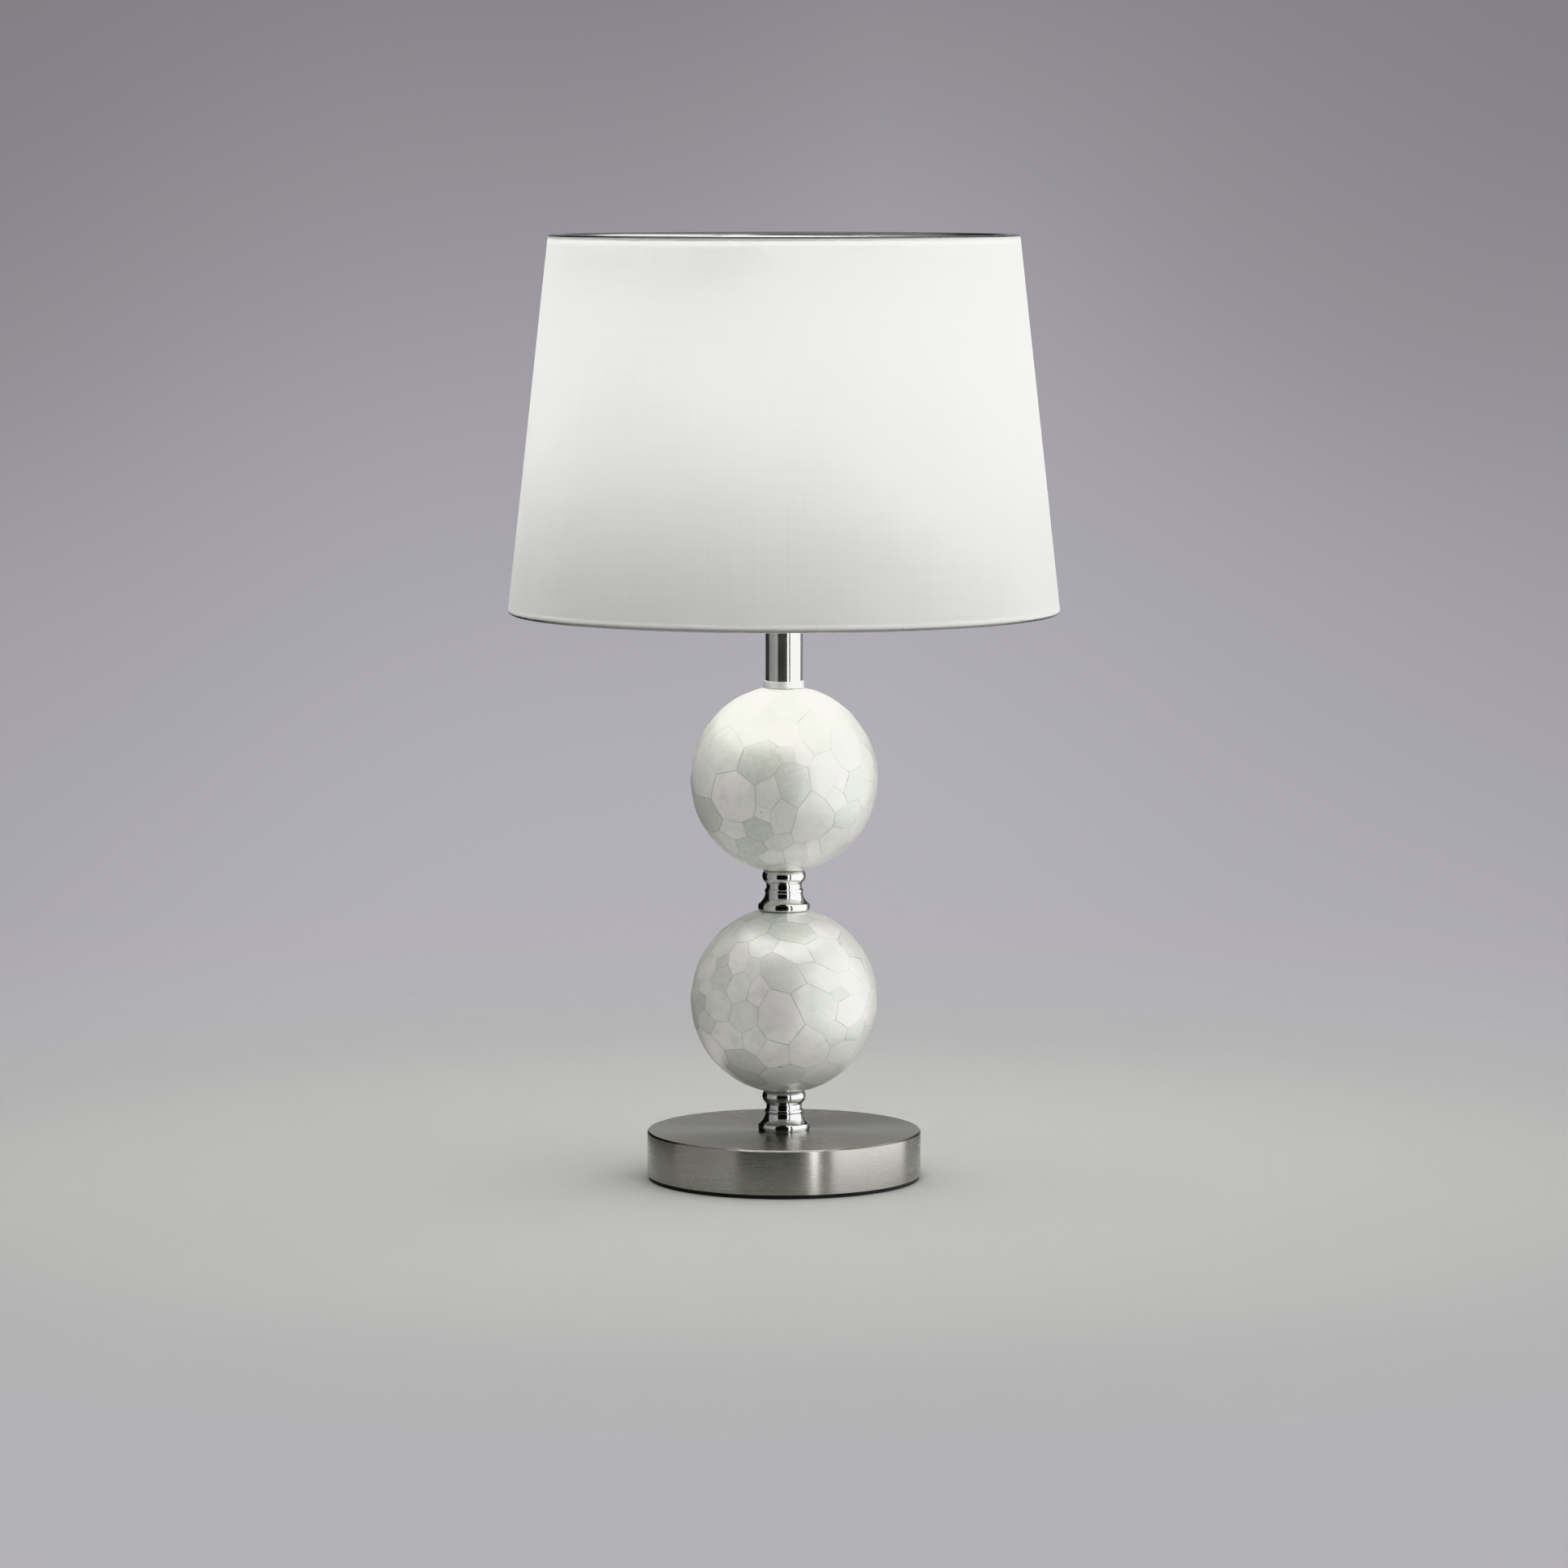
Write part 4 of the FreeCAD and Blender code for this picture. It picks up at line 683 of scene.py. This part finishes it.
def rollPoints(ring, inward, out, radius, turns, steps):
    points = []
    for i in range(steps + 1):
        turn = math.radians(turns[0] + (turns[1] - turns[0]) * i / steps)
        points.append(ring + (out * math.cos(turn) - inward * math.sin(turn)) * radius)
    return points


def clothLine():
    # middle of the cloth, from inside the bottom ring's wire, up the wall, to inside the top one
    bottom, top, up, out = shadeFrame()
    turns = (shadeSizes["rollTurn"], 0)
    steps = shadeSizes["rollSteps"]
    low = rollPoints(bottom, up, out, shadeSizes["rollRadius"], turns, steps)
    high = rollPoints(top, -up, out, shadeSizes["rollRadius"], turns, steps)[::-1]
    rows = shadeSizes["rows"]
    wall = [low[-1].lerp(high[0], i / rows) for i in range(1, rows)]
    return low + wall + high


clothLook = {
    "colour": (0.90, 0.905, 0.90),
    "tone": 0.91,
    "threadTone": 0.03,
    "slubTone": 0.10,
    "cloudTone": 0.05,
    "slubStretches": ((12.0, 900.0, 1.0), (900.0, 12.0, 1.0)),  # along the weft and the warp
    "cloudScale": 14.0,
    "roughness": 0.85,
    "sheen": 0.15,
    "sheenRoughness": 0.4,
    "slubHeight": 0.6,
    "weaveBump": 0.35,
    "weaveDepth": 0.06 * mm,
    "glueFade": 1.5 * mm,
}


def makeClothFinish(band):
    # woven threads on the cloth's own UV map, which is in metres
    material, tree, shader, place = newFinish("shadeLinen")
    uv = addNode(tree, "ShaderNodeUVMap", uv_map="UVMap").outputs[0]
    split = addNode(tree, "ShaderNodeSeparateXYZ", {0: uv}).outputs
    pitch = shadeSizes["threadPitch"]
    across = calc(tree, "DIVIDE", split[0], pitch)
    along = calc(tree, "DIVIDE", split[1], pitch)
    weft = calc(tree, "ABSOLUTE", calc(tree, "SINE", calc(tree, "MULTIPLY", along, math.pi)))
    warp = calc(tree, "ABSOLUTE", calc(tree, "SINE", calc(tree, "MULTIPLY", across, math.pi)))
    over = calc(tree, "MODULO", calc(tree, "ADD", calc(tree, "FLOOR", across),
                                     calc(tree, "FLOOR", along)), 2.0)
    thread = calc(tree, "MULTIPLY_ADD", over, calc(tree, "SUBTRACT", weft, warp), warp)
    slubs = [noise(tree, vectorCalc(tree, "MULTIPLY", uv, stretch), 1.0, 3.0)
             for stretch in clothLook["slubStretches"]]
    slub = calc(tree, "MULTIPLY_ADD", slubs[0], 0.5, calc(tree, "MULTIPLY", slubs[1], 0.5))
    cloud = noise(tree, place, clothLook["cloudScale"], 2.0)
    tone = calc(tree, "MULTIPLY_ADD", thread, clothLook["threadTone"], clothLook["tone"])
    tone = calc(tree, "MULTIPLY_ADD", slub, clothLook["slubTone"], tone)
    tone = calc(tree, "MULTIPLY_ADD", calc(tree, "SUBTRACT", cloud, 0.5), clothLook["cloudTone"],
                tone)
    grey = addNode(tree, "ShaderNodeCombineXYZ", {0: tone, 1: tone, 2: tone}).outputs[0]
    cloth = mixColour(tree, 1.0, clothLook["colour"], grey, "MULTIPLY")
    height = calc(tree, "MULTIPLY_ADD", slub, clothLook["slubHeight"], thread)
    feed(tree, shader, {
        "Base Color": cloth,
        "Roughness": clothLook["roughness"],
        "Sheen Weight": clothLook["sheen"],
        "Sheen Roughness": clothLook["sheenRoughness"],
        "Normal": bumped(tree, height, clothLook["weaveBump"], clothLook["weaveDepth"])})
    middle = calc(tree, "SUBTRACT", calc(tree, "MODULO", split[1], band), band / 2)
    toEdge = calc(tree, "SUBTRACT", band / 2, calc(tree, "ABSOLUTE", middle))
    glue = math.pi * shadeSizes["rollRadius"] + shadeSizes["liningGap"]
    share = smoothStep(tree, toEdge, glue - clothLook["glueFade"], glue,
                       *shadeSizes["clothGlow"])
    letLightThrough(tree, shader, cloth, share)
    return material


def makeShadeCloth():
    line = clothLine()
    half = shadeSizes["clothThickness"] / 2
    sides = []
    for i in range(len(line)):
        before = line[max(i - 1, 0)]
        after = line[min(i + 1, len(line) - 1)]
        way = (after - before).normalized()
        sides.append(Vector((way.y, -way.x)) * half)
    outline = [tuple(p + s) for p, s in zip(line, sides)]
    outline += [tuple(p - s) for p, s in zip(line[::-1], sides[::-1])]
    mesh = turnOutline("shadeCloth", outline, shadeSizes["steps"], sharpDegrees=60)
    for vertex in mesh.vertices:    # the seam down the back, where the ends overlap
        if vertex.co.y > 0:
            # 1 across the seam, with soft shoulders at its two edges
            share = max(0.0, 1.0 - (2 * vertex.co.x / shadeSizes["seamWidth"]) ** 8)
            reach = math.hypot(vertex.co.x, vertex.co.y)
            vertex.co.x *= 1 + share * shadeSizes["seamProud"] / reach
            vertex.co.y *= 1 + share * shadeSizes["seamProud"] / reach
    band = sum((b - a).length for a, b in zip(line, line[1:]))
    piece = newPiece("shadeCloth", mesh, makeClothFinish(band))
    fitPiece(piece, "shade", "shade_cloth", "shade_fabric")
    bottom, top, up, out = shadeFrame()


def makeShadeTrims():
    # a thin metallised tape over each edge
    bottom, top, up, out = shadeFrame()
    under = shadeSizes["rollRadius"] + shadeSizes["clothThickness"] / 2
    over = under + shadeSizes["trimThickness"]
    steps = shadeSizes["trimSteps"]
    for name, ring, inward in (("shadeBottomTrim", bottom, up), ("shadeTopTrim", top, -up)):
        outline = rollPoints(ring, inward, out, over, shadeSizes["trimTurns"], steps)
        outline += rollPoints(ring, inward, out, under, shadeSizes["trimTurns"][::-1], steps)
        mesh = turnOutline(name, [tuple(p) for p in outline], shadeSizes["steps"],
                           sharpDegrees=50)
        piece = newPiece(name, mesh, finishes["edge_tape"])
        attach(piece, "shade")


makeShadeCloth()
makeShadeTrims()
print("shade covered")


# bulb: the screw thread rolled into its thin metal cap, and the light

capSizes = {
    "wall": 0.3 * mm,
    "footRadius": 11.6 * mm,
    "footHeight": 2.25 * mm,
    "innerRadius": 5.0 * mm,        # out of sight, over the insulator
    "threadPitch": 3.63 * mm,
    "threadDepth": 0.85 * mm,
    "threadRunOut": 2.2 * mm,
    "rows": 84,
    "steps": 96,
}


def makeThreadTree():
    tree, given = newGeometryTree("rollThread", {"Pitch": "Float", "Depth": "Float",
                                                 "Low": "Float", "High": "Float",
                                                 "Run Out": "Float", "Finish": "Material"})
    place = addNode(tree, "GeometryNodeInputPosition").outputs[0]
    split = addNode(tree, "ShaderNodeSeparateXYZ", {0: place}).outputs
    radius = axisDistance(tree, place)
    turn = calc(tree, "DIVIDE", calc(tree, "ARCTAN2", split[1], split[0]), 2 * math.pi)
    fromLow = calc(tree, "SUBTRACT", split[2], given["Low"])
    fromHigh = calc(tree, "SUBTRACT", given["High"], split[2])
    winding = calc(tree, "SUBTRACT", calc(tree, "DIVIDE", fromLow, given["Pitch"]), turn)
    wave = calc(tree, "COSINE", calc(tree, "MULTIPLY", winding, 2 * math.pi))
    groove = calc(tree, "MULTIPLY_ADD", wave, -0.5, 0.5)
    for distance in (fromLow, fromHigh):
        groove = calc(tree, "MULTIPLY", groove, smoothStep(tree, distance, 0.0, given["Run Out"]))
    inward = calc(tree, "DIVIDE", calc(tree, "MULTIPLY", groove, given["Depth"]), radius)
    factor = calc(tree, "SUBTRACT", 1.0, inward)
    stretch = addNode(tree, "ShaderNodeCombineXYZ", {0: factor, 1: factor, 2: 1.0}).outputs[0]
    moved = addNode(tree, "GeometryNodeSetPosition", {
        "Geometry": given["Geometry"], "Position": vectorCalc(tree, "MULTIPLY", place, stretch)})
    endGeometryTree(tree, moved.outputs[0], given["Finish"])
    return tree


def makeBulbCap():
    low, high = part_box("bulb_cap")
    radius = high.x
    foot = low.z + capSizes["footHeight"]
    rows = capSizes["rows"]
    outline = [(capSizes["innerRadius"], low.z), (capSizes["footRadius"], low.z)]
    outline += [(radius, foot + (high.z - foot) * i / rows) for i in range(rows + 1)]
    inner = radius - capSizes["wall"]
    floorLevel = foot + capSizes["wall"]
    outline += [(inner, high.z + (floorLevel - high.z) * i / rows) for i in range(rows + 1)]
    outline.append((capSizes["innerRadius"], floorLevel))
    mesh = turnOutline("bulbCapThread", outline, capSizes["steps"])
    piece = newPiece("bulbCapThread", mesh, finishes["bulb_nickel"])
    runTree(piece, makeThreadTree(), {
        "Pitch": capSizes["threadPitch"], "Depth": capSizes["threadDepth"],
        "Low": foot, "High": high.z, "Run Out": capSizes["threadRunOut"],
        "Finish": finishes["bulb_nickel"]})
    smoothMesh(piece.data, 50)
    fitPiece(piece, "bulb", "bulb_nickel", "bulb_cap")
    return len(piece.data.polygons)


globeLook = {
    "colour": (0.95, 0.93, 0.9),
    "roughness": 0.35,
    "cloudScale": 40.0,
    "lightColours": ((1.0, 0.97, 0.925), (1.0, 0.985, 0.95)),
    "lightStrength": 80.0,
}
liningLook = {
    "colours": ((0.92, 0.92, 0.92), (0.95, 0.95, 0.95)),
    "roughness": 0.45,
    "cloudScale": 30.0,
    "glow": 0.5,                    # share of light let through
}


def makeGlowFinish():
    material, tree, shader, place = newFinish("litGlobe")
    cloud = noise(tree, place, globeLook["cloudScale"], 2.0)
    feed(tree, shader, {
        "Base Color": (*globeLook["colour"], 1.0),
        "Roughness": globeLook["roughness"],
        "Emission Color": mixColour(tree, cloud, *globeLook["lightColours"]),
        "Emission Strength": globeLook["lightStrength"]})
    return material


def makeLiningFinish():
    material, tree, shader, place = newFinish("liningStyrene")
    cloud = noise(tree, place, liningLook["cloudScale"], 3.0)
    film = mixColour(tree, cloud, *liningLook["colours"])
    feed(tree, shader, {"Base Color": film, "Roughness": liningLook["roughness"]})
    letLightThrough(tree, shader, film, liningLook["glow"])
    return material


print("bulb cap rolled, faces:", makeBulbCap())
frame["nodes"]["bulb_globe"].material_slots[0].material = makeGlowFinish()
frame["nodes"]["shade_lining"].material_slots[0].material = makeLiningFinish()
